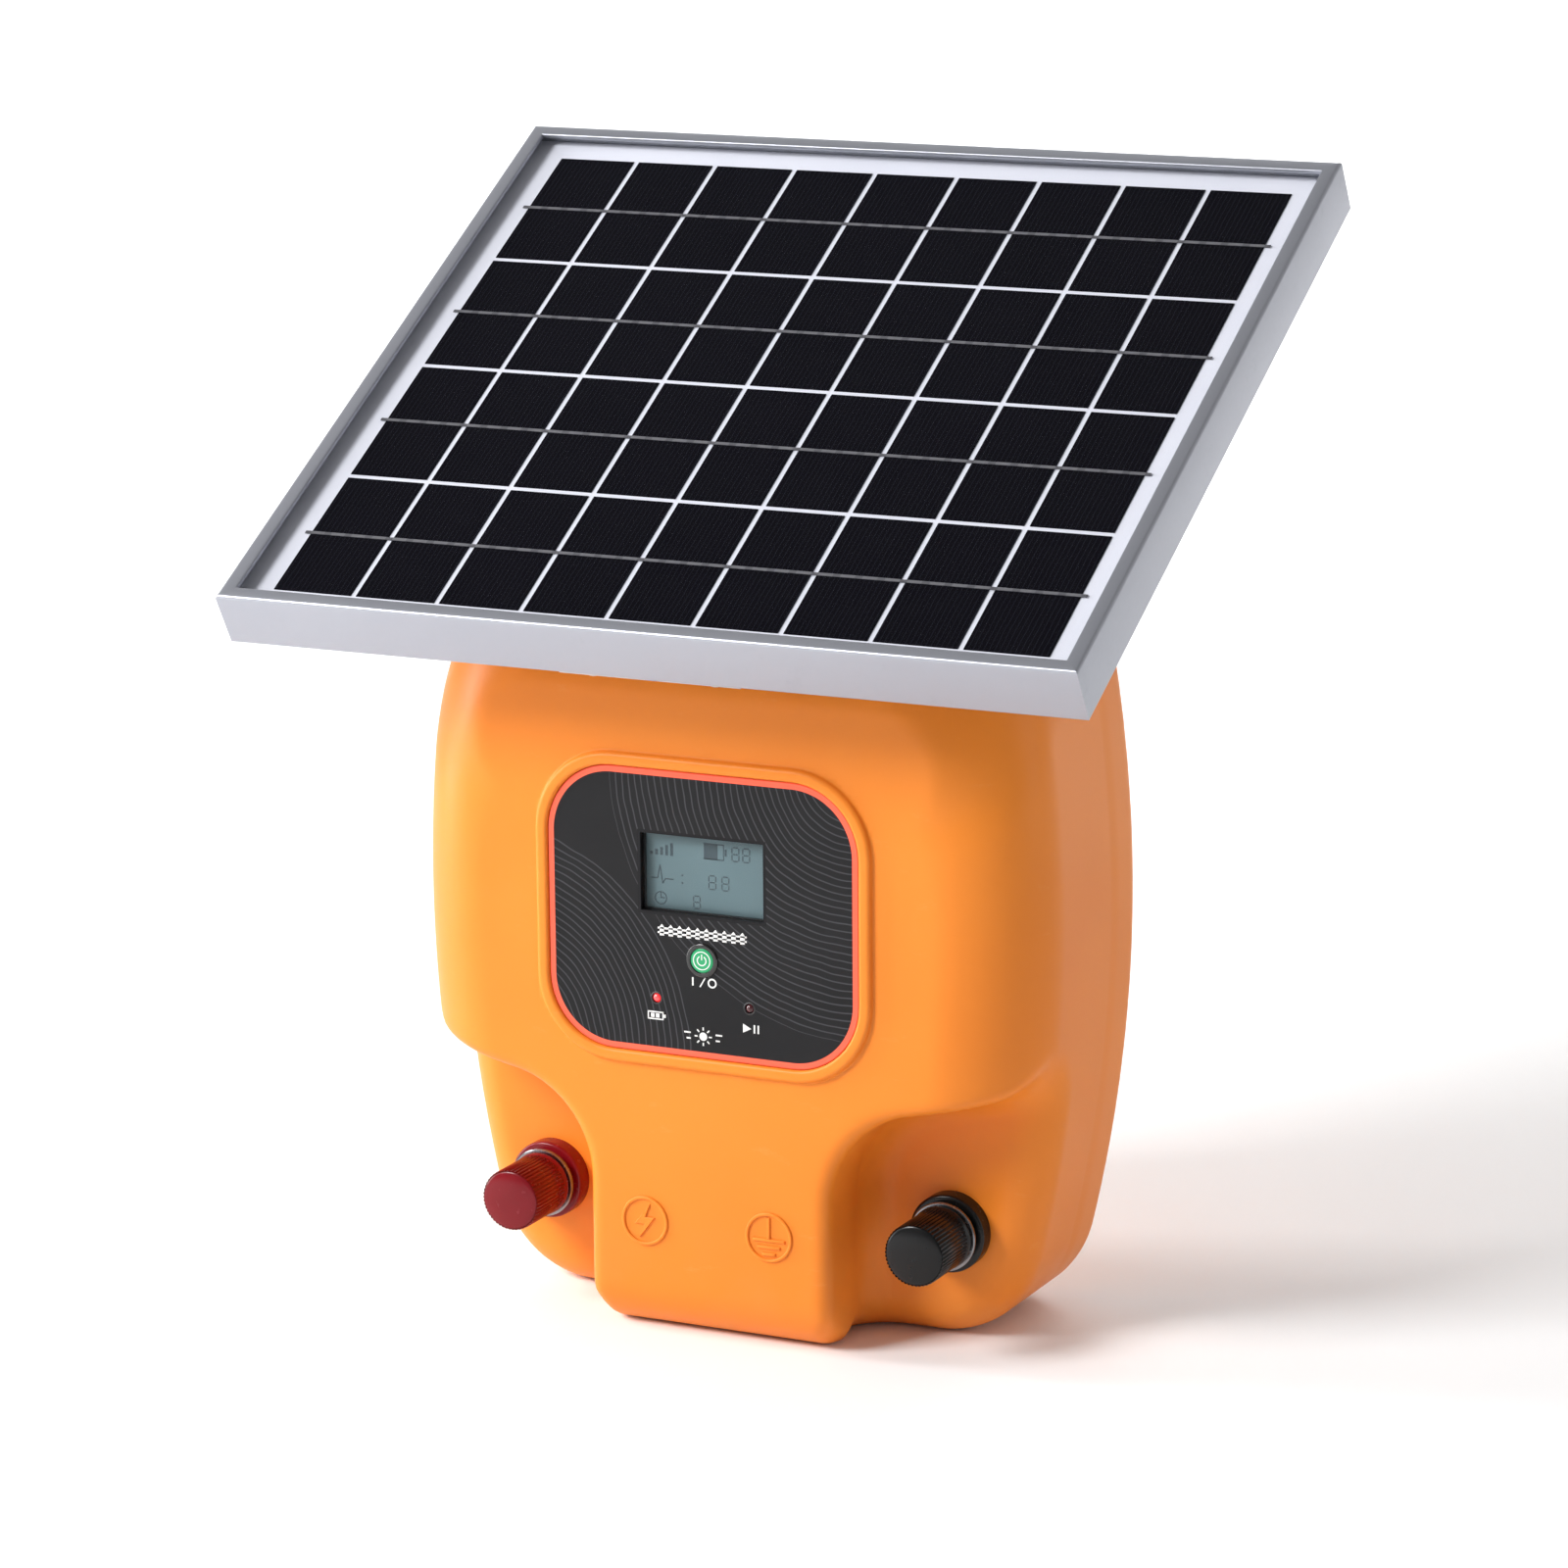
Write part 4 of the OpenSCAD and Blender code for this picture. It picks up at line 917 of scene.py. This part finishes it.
bezel_profile = [(3.85, face_y + 2.8), (4.6, face_y + 2.8), (4.6, label_front), (5.3, label_front)]
bezel_profile += [(4.75 + 0.55 * math.cos(a), label_front - 0.12 - 0.48 * math.sin(a))
                  for a in np.linspace(0, math.pi / 2, 7)]
bezel_profile += [(4.05 + 0.2 * math.cos(a), label_front - 0.4 - 0.2 * math.sin(a))
                  for a in np.linspace(math.pi / 2, math.pi, 5)]
bezel = mesh_object("button_ring", *hoop(0, button_z, bezel_profile[::-1], 96), sharp=30)
gloss_black = Finish("gloss_black")
cloud = gloss_black.noise(200, 3)
gloss_black.skin(gloss_black.mix(cloud, rgb(14, 14, 15), rgb(22, 22, 23)), 0.12 + cloud * 0.08,
                 Coat_Weight=0.4, Coat_Roughness=0.08, Normal=gloss_black.bump(cloud, 0.04, 0.0003))
bezel.data.materials.append(gloss_black.material)
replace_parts(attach(bezel, "housing"), "button_bezel")

cap_y = label_front - 0.5
cap_profile = [(0, face_y + 4.2), (1.5, face_y + 4.2), (1.5, face_y + 3.7), (4.5, face_y + 3.7),
               (4.5, face_y + 3.1), (3.8, face_y + 3.1), (3.8, cap_y + 0.35)]
cap_profile += [(3.45 + 0.35 * math.cos(a), cap_y + 0.35 - 0.3 * math.sin(a))
                for a in np.linspace(0.2, 1.4, 5)]
cap_profile += [(3.2, cap_y + 0.04), (1.6, cap_y + 0.01), (0, cap_y)]
cap = mesh_object("button_cap", *lathe(cap_profile[::-1], (0, 0, button_z), "y", 72), sharp=30)
green = Finish("green_cap")
cloud = green.noise(260, 3)
# Painted light: the cap glows faintly green, though it is no lamp.
green.skin(green.mix(cloud, rgb(0, 140, 84), rgb(8, 158, 98)), 0.25 + cloud * 0.1, Coat_Weight=0.3,
           Emission_Color=rgb(0, 150, 90), Emission_Strength=0.12, Normal=green.bump(cloud, 0.05, 0.0002))
cap.data.materials.append(green.material)
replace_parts(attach(cap, "power_button"), "power_button")
cap_ink = (cap_y + 0.05, cap_y - 0.03)
standby = outward(mesh_object("button_print", *together(
    ring_piece(0, button_z, 2.75, 0.28, *cap_ink, steps=64),
    ring_piece(0, button_z, 1.45, 0.32, *cap_ink, 120, 420, 36),
    raised(bar(0, button_z + 0.2, 0, button_z + 2.0, 0.32), *cap_ink, 0.02))))
standby.data.materials.append(ink_white.material)
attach(standby, "power_button")

# Two 3 mm lamps in moulded epoxy stand a little proud of the label. The left one is lit.

lit_red = Finish("lit_red_lamp")
core = 1 - lit_red.node("VectorMath", {"operation": "LENGTH"},
                        lit_red.seated((-lamp_x * MM, (label_front - 0.2) * MM, lamp_z * MM)),
                        output=1).ramp(0.0003, 0.0016)
lit_red.skin(lit_red.mix(core, rgb(150, 8, 14), rgb(255, 60, 60)), 0.15 + lit_red.noise(500) * 0.05,
             Coat_Weight=0.5, Emission_Strength=1.1,
             Emission_Color=lit_red.mix(core, rgb(200, 10, 18), rgb(255, 84, 84)))
dark_lamp = Finish("dark_lamp")
dark_lamp.skin(dark_lamp.mix(dark_lamp.noise(500), rgb(52, 14, 18), rgb(84, 30, 36)),
               0.12 + dark_lamp.noise(700) * 0.06, Coat_Weight=0.6)
lamp_seat = [(1.52, label_front + 0.5), (1.52, label_front - 0.05), (1.75, label_front - 0.12),
             (2.0, label_front), (2.0, label_front + 0.02)]
for name, node, x, finish in (("lamp_lit_seat", "power_lamp", -lamp_x, lit_red),
                              ("lamp_dark_seat", "run_lamp", lamp_x, dark_lamp)):
    dress(node, finish.material)
    ring = mesh_object(name, *hoop(x, lamp_z, lamp_seat, 96), moulded_black.material, 30)
    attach(ring, "housing")

# ---------------------------------------------------------------- terminals
# Each terminal is an M6 stud through the floor of its corner, a glossy insulating collar, a nickel clamp
# washer and a knob with fifty fine ribs. Red feeds the fence, black goes to earth. Turning a knob moves
# it and its washer out along the stud.

neck_y = floor_y - 7.2
washer_y = neck_y - 1.7
knob_back = washer_y - 0.3
knob_front = knob_back - 21.1
stud_tip, thread_pitch = knob_front + 3.5, 0.5

knurl, given, geo, ending, knurl_inputs = tree_of(
    "ribbed_knob", {"Rib": "Object", "Ribs": "Int", "Radius": "Float", "Middle": "Vector"})
around_knob = geo("GeometryNodeMeshCircle", Vertices=given["Ribs"], Radius=given["Radius"])
step = geo("ShaderNodeMath", {"operation": "DIVIDE"}, 2 * math.pi, given["Ribs"])
turn = geo("ShaderNodeMath", {"operation": "MULTIPLY"}, step, geo("GeometryNodeInputIndex"))
stood = geo("GeometryNodeInstanceOnPoints", Points=around_knob,
             Rotation=geo("ShaderNodeCombineXYZ", Z=turn),
             Instance=geo("GeometryNodeObjectInfo", Object=given["Rib"], output="Geometry"))
upright = geo("GeometryNodeTransform", Geometry=stood, Rotation=(math.pi / 2, 0, 0),
               Translation=given["Middle"])
joined = wired(knurl, "GeometryNodeJoinGeometry", None, [upright], {})
knurl.links.new(given["Geometry"], joined.inputs[0])
ending(joined.outputs[0])

# a rib stands on the circle at +X with its length along Z, thinning to nothing at both ends
half = (knob_back - knob_front - 1.5 - 1.0) / 2
stations = [(-half, -0.15), (-half + 0.7, 0.44), (half - 0.3, 0.44), (half, 0.2)]
rib = ([((0.28 + h) * math.cos(a) - 0.28, 0.52 * math.sin(a), d) for d, h in stations
        for a in np.linspace(-math.pi / 2, math.pi / 2, 5)],
       [(5 * k + i, 5 * k + i + 1, 5 * k + i + 6, 5 * k + i + 5) for k in range(3) for i in range(4)])

core = [(r, knob_front + d) for r, d in (
    (0, 0), (2.4, 0.05), (4.6, 0.2), (6.4, 0.42), (7.8, 0.68), (8.7, 0.9), (9.1, 1.08), (9.28, 1.3))]
core += [(r, knob_back - d) for r, d in (
    (9.28, 2.2), (9.6, 1.6), (9.95, 1.1), (9.95, 0.3), (9.75, 0), (3.06, 0))]
core += [(3.06, knob_front + 3.2), (0, knob_front + 3.0)]
collar = [(3.06, floor_y), (12.25, floor_y), (12.25, floor_y - 4.7)]
collar += [(11.35 + 0.9 * math.cos(a), floor_y - 4.7 - 0.9 * math.sin(a))
           for a in np.linspace(0.25, math.pi / 2, 5)]
collar += [(9.2, floor_y - 5.6), (8.6, floor_y - 5.9), (8.6, neck_y + 0.4), (8.2, neck_y), (3.06, neck_y)]
washer = [(r, washer_y + d) for r, d in (
    (3.06, 0.2), (3.06, 1.4), (10.5, 1.4), (10.8, 1.1), (10.8, 0.3), (10.5, 0), (3.3, 0))]


def phenolic(name, body, low, rough):
    """A hard, glossy moulded plastic with faint flow marks and rubbed rib tops"""
    made = Finish(name)
    flow = made.noise(90, 3, made.turned(stretch=(1, 0.3, 1)))
    rub = made.noise(420, 4).ramp(0.6, 0.8)
    made.skin(made.mix(rub * 0.2, made.mix(flow, body, low),
                       tuple(min(1, c * 1.6 + 0.02) for c in body[:3]) + (1,)),
              rough + flow * 0.08 + rub * 0.15, Specular_IOR_Level=0.25, Coat_Weight=0.08,
              Coat_Roughness=0.15, Normal=made.bump(made.noise(1500), 0.05, 0.0001))
    return made.material


nickel = mottled("dark_nickel", rgb(120, 120, 124), rgb(150, 150, 152), 0.18, 0.14, 400, 3, 1800, 0.06,
                 Metallic=1.0)
for side, x, slot, body, low in (("fence", -post_x, "red_knob", rgb(126, 14, 26), rgb(104, 10, 18)),
                                 ("earth", post_x, "black_gloss", rgb(16, 16, 17), rgb(11, 11, 12))):
    shell = phenolic(side + "_plastic", body, low, 0.2)
    rib_part = mesh_object("rib", *rib)
    knob = mesh_object(side + "_knob_ribbed", *lathe(core, (x, 0, post_z), "y", 100))
    outward(knob)
    grown(knob, knurl, knurl_inputs,
          {"Rib": rib_part, "Ribs": 50, "Radius": 9.28 * MM, "Finish": shell,
           "Middle": (x * MM, (knob_front + 1.0 + half) * MM, post_z * MM)}, 40)
    bpy.data.objects.remove(rib_part)
    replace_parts(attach(knob, side + "_knob"), side + "_knob")
    made = outward(mesh_object(side + "_collar_turned", *hoop(x, post_z, collar), shell, 30))
    shade(made, 30)
    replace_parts(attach(made, "housing"), side + "_collar")
    made = outward(mesh_object(side + "_washer_turned", *hoop(x, post_z, washer), nickel.material, 30))
    shade(made, 30)
    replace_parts(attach(made, side + "_clamp"), side + "_washer")
    threads = [(0, stud_tip), (2.4, stud_tip)]
    for k in range(int((3 - stud_tip) / thread_pitch)):
        d = stud_tip + 0.2 + thread_pitch * k
        threads += [(2.62, d), (3.0, d + 0.22)]
    made = mesh_object(side + "_stud_threaded", *lathe(threads + [(2.4, 3), (0, 3)], (x, 0, post_z), "y", 36),
                       zinc.material, 60)
    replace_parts(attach(outward(made), "housing"), side + "_stud")
    eased(side + "_nuts", 0.35, brass.material)

# ---------------------------------------------------------------- solar panel
# Four anodised aluminium rails, mitred and held by corner keys, grip a laminate: textured solar glass, 36
# black silicon cells joined by tinned ribbons, and a white backsheet. The junction box sits underneath.

tilt = math.radians(30)
panel_middle = (0, 15.4 * MM, 288.958 * MM)
panel_wide, panel_long, frame_deep, frame_wall, lip, flange, slot_depth = 280, 240, 18, 1.5, 5, 12, 6
lay = Matrix.Translation(panel_middle) @ Matrix.Rotation(tilt, 4, "X")


def rounded(points, radii):
    """The outline with each corner rounded to its radius"""
    out = []
    p = np.array(points, float)
    for i, r in enumerate(radii):
        if r <= 0:
            out.append(tuple(p[i]))
            continue
        to_last, to_next = p[i - 1] - p[i], p[(i + 1) % len(p)] - p[i]
        a, b = to_last / np.linalg.norm(to_last), to_next / np.linalg.norm(to_next)
        for t in (0, 0.3, 0.7, 1):
            out.append(tuple(p[i] + a * r * (1 - t) ** 2 + b * r * t ** 2))
    return out


section = rounded(
    [(0, 0), (lip, 0), (lip, -frame_wall), (frame_wall, -frame_wall), (frame_wall, -slot_depth),
     (lip, -slot_depth), (lip, -slot_depth - 1.2), (frame_wall, -slot_depth - 1.2),
     (frame_wall, frame_wall - frame_deep), (flange, frame_wall - frame_deep), (flange, -frame_deep),
     (0, -frame_deep)],
    [1.1, 0.45, 0.2, 0, 0, 0.2, 0.2, 0.3, 0.5, 0.4, 0.4, 0.5])

anodised = Finish("anodised_frame")
cloud = anodised.noise(14, 3)
along = anodised.noise(500, 2, anodised.seated(panel_middle, (tilt, 0, 0)))
handling = anodised.noise(70, 5, None, 0.7).ramp(0.6, 0.8)
anodised.skin(anodised.mix(handling * 0.4, anodised.mix(cloud, rgb(166, 168, 177), rgb(174, 176, 184)),
                           rgb(158, 160, 167)),
              0.36 + along * 0.08 + handling * 0.12, Metallic=0.8,
              Normal=anodised.bump(along, 0.05, 0.00008))


def rail_mesh(name, w, l, turn):
    """One mitred rail, along the lower edge of a w by l frame, then turned to its own edge"""
    made = mesh_object(name, *stacked(
        [[(s * (w / 2 - inwards), -l / 2 + inwards, h) for inwards, h in section] for s in (-1, 1)]))
    made.data.transform(lay @ Matrix.Rotation(turn, 4, "Z"))
    made.data.materials.append(anodised.material)
    return outward(made)


for name, node, w, l, turn in (("rail_front", "front_rail", panel_wide, panel_long, 0),
                               ("rail_rear", "rear_rail", panel_wide, panel_long, math.pi),
                               ("rail_left", "left_rail", panel_long, panel_wide, -math.pi / 2),
                               ("rail_right", "right_rail", panel_long, panel_wide, math.pi / 2)):
    made = rail_mesh(name, w, l, turn)
    shade(made, 38)
    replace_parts(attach(made, "panel"), node)

silicon = Finish("black_silicon")
flat = silicon.seated(panel_middle, (tilt, 0, 0))
u, v, _ = [c * 1000 for c in silicon.axes(flat)]
sway = (silicon.noise(160, 2, flat) - 0.5) * 0.5
finger = 1 - abs(((u + sway) / 1.62) % 1.0 - 0.5).ramp(0.04, 0.13)
grain = silicon.noise(900, 2, flat)
tone = silicon.mix(silicon.noise(22, 2, flat), rgb(6, 6, 11), rgb(10, 9, 16))
tone = silicon.mix(finger * 0.5, tone, rgb(42, 42, 52))
silicon.skin(tone, 0.32 + grain * 0.12, Specular_IOR_Level=0.04, Normal=silicon.bump(finger, 0.1, 0.00003))
dress("solar_cells", silicon.material)

tinned = Finish("tinned_ribbon")
flat = tinned.seated(panel_middle, (tilt, 0, 0))
u, v, _ = [c * 1000 for c in tinned.axes(flat)]
pads = abs((u / 7.1) % 1.0 - 0.5).ramp(0.3, 0.36)
cloud = tinned.noise(600, 3, flat)
tinned.skin(tinned.mix(pads * 0.5, tinned.mix(cloud, rgb(120, 120, 126), rgb(146, 146, 150)),
                       rgb(84, 84, 92)),
            0.4 + cloud * 0.15, Metallic=0.6, Normal=tinned.bump(cloud, 0.15, 0.00004))
dress("cell_ribbons", tinned.material)

white_film = mottled("white_backsheet", rgb(226, 228, 240), rgb(234, 236, 246), 0.5, 0.1, 40, 3, 700, 0.08)
dress("panel_backsheet", white_film.material)

solar_glass = Finish("solar_glass")
cloud = solar_glass.noise(24, 3)
solar_glass.skin(rgb(10, 12, 18), 0.12 + cloud * 0.06, Alpha=0.03 + cloud * 0.01, Specular_IOR_Level=0.3)
dress("panel_glass", solar_glass.material)

cast_zinc = Finish("cast_zinc_key")
cast_zinc.skin(cast_zinc.mix(cast_zinc.noise(200), rgb(130, 132, 134), rgb(156, 156, 158)), 0.5, Metallic=0.9,
               Normal=cast_zinc.bump(cast_zinc.noise(900), 0.2, 0.0001))
eased("frame_corner_keys", 0.3, cast_zinc.material)

for node, width in (("junction_box", 0.8), ("junction_lid", 0.7), ("junction_gland", 0.4),
                    ("cable_gland", 0.4)):
    eased(node, width, moulded_black.material)

# ---------------------------------------------------------------- tilt hinge
# Two bent steel brackets, zinc plated. The upper one is screwed across the frame, the lower one to the
# pad of the rear shell. An M5 bolt with a friction nut joins their ears and holds the panel where it is put.

plated = Finish("plated_steel")
cloud = plated.noise(120, 4)
spangle = plated.node("TexVoronoi", None, plated.place, Scale=160, output=1)
streak = plated.noise(1100, 2, plated.turned(stretch=(0.15, 1, 1)))
plated.skin(plated.mix(cloud.ramp(0.3, 0.7), plated.mix(0.12, rgb(178, 180, 184), spangle),
                       rgb(202, 203, 205)),
            0.3 + cloud * 0.18 + streak * 0.05, Metallic=0.95, Normal=plated.bump(streak, 0.06, 0.0001))
eased("panel_bracket", 0.4, plated.material)
eased("base_bracket", 0.4, plated.material)
for node, width in (("panel_bracket_screws", 0.4), ("base_bracket_screws", 0.15), ("hinge_bolt", 0.3),
                    ("hinge_nuts", 0.25)):
    eased(node, width, zinc.material)

# ---------------------------------------------------------------- inside the housing
# Green glass-fibre boards, the blue discharge capacitor, the laminated pulse transformer with its copper
# coil, three lithium cells under a strap, and the copper strips that feed the studs. None of it shows.

board_green = Finish("solder_mask")
cloud = board_green.noise(40, 3)
rows = abs((board_green.axes()[0] * 1000 / 2.54) % 1.0 - 0.5).ramp(0.38, 0.46)
tracks = rows * board_green.noise(60, 1).ramp(0.5, 0.55)
board_green.skin(board_green.mix(tracks * 0.5, board_green.mix(cloud, rgb(16, 84, 48), rgb(22, 98, 56)),
                                 rgb(60, 130, 84)),
                 0.35 + cloud * 0.1, Normal=board_green.bump(tracks, 0.2, 0.00005))
dress("display_board", board_green.material)
dress("main_board", board_green.material)

copper = Finish("bare_copper")
cloud = copper.noise(150, 4)
copper.skin(copper.mix(cloud.ramp(0.3, 0.7), rgb(184, 112, 78), rgb(208, 138, 98)), 0.28 + cloud * 0.2,
            Metallic=1.0, Normal=copper.bump(copper.noise(900), 0.08, 0.0001))
for node in ("fence_busbar", "earth_busbar"):
    eased(node, 0.25, copper.material)

winding = Finish("enamelled_winding")
turns = abs((winding.axes()[2] * 1000 / 0.9) % 1.0 - 0.5)
winding.skin(winding.mix(turns, rgb(150, 78, 36), rgb(190, 104, 52)), 0.25 + winding.noise(200) * 0.1,
             Coat_Weight=0.5, Normal=winding.bump(turns, 0.6, 0.0004))
eased("transformer_coil", 1.2, winding.material, 3)

laminated = Finish("laminated_core")
layers = abs((laminated.axes()[1] * 1000 / 0.5) % 1.0 - 0.5).ramp(0.3, 0.5)
laminated.skin(laminated.mix(layers, rgb(78, 80, 86), rgb(50, 50, 54)), 0.45 + laminated.noise(300) * 0.15,
               Metallic=0.7, Normal=laminated.bump(layers, 0.3, 0.0001))
eased("transformer_core", 0.3, laminated.material)
eased("transformer_base", 0.6, moulded_black.material)

blue_case = mottled("capacitor_case", rgb(34, 74, 150), rgb(42, 86, 166), 0.35, 0.12, 60, 3, 900, 0.1)
eased("discharge_capacitor", 1.5, blue_case.material, 3)

sleeve_green = Finish("cell_sleeve")
cloud = sleeve_green.noise(90, 3)
ends = (abs(sleeve_green.axes()[0]) * 1000).ramp(31.0, 31.4)
sleeve_green.skin(sleeve_green.mix(ends, sleeve_green.mix(cloud, rgb(44, 140, 92), rgb(52, 152, 104)),
                                   rgb(170, 172, 174)),
                  0.3 + cloud * 0.1, Normal=sleeve_green.bump(cloud, 0.05, 0.0002))
eased("battery_cells", 0.5, sleeve_green.material)
eased("battery_tray", 0.5, moulded_black.material)

webbing = Finish("strap_webbing")
weave = abs((webbing.axes()[0] * 1000 / 0.8) % 1.0 - 0.5) + abs((webbing.axes()[2] * 1000 / 0.8) % 1.0 - 0.5)
webbing.skin(webbing.mix(weave, rgb(84, 84, 86), rgb(116, 116, 118)), 0.8,
             Normal=webbing.bump(weave, 0.5, 0.0002))
eased("battery_strap", 0.3, webbing.material)
eased("board_components", 0.4, moulded_black.material)
eased("button_switch", 0.2, moulded_black.material)
for node in ("display_board_screws", "main_board_screws"):
    eased(node, 0.15, zinc.material)
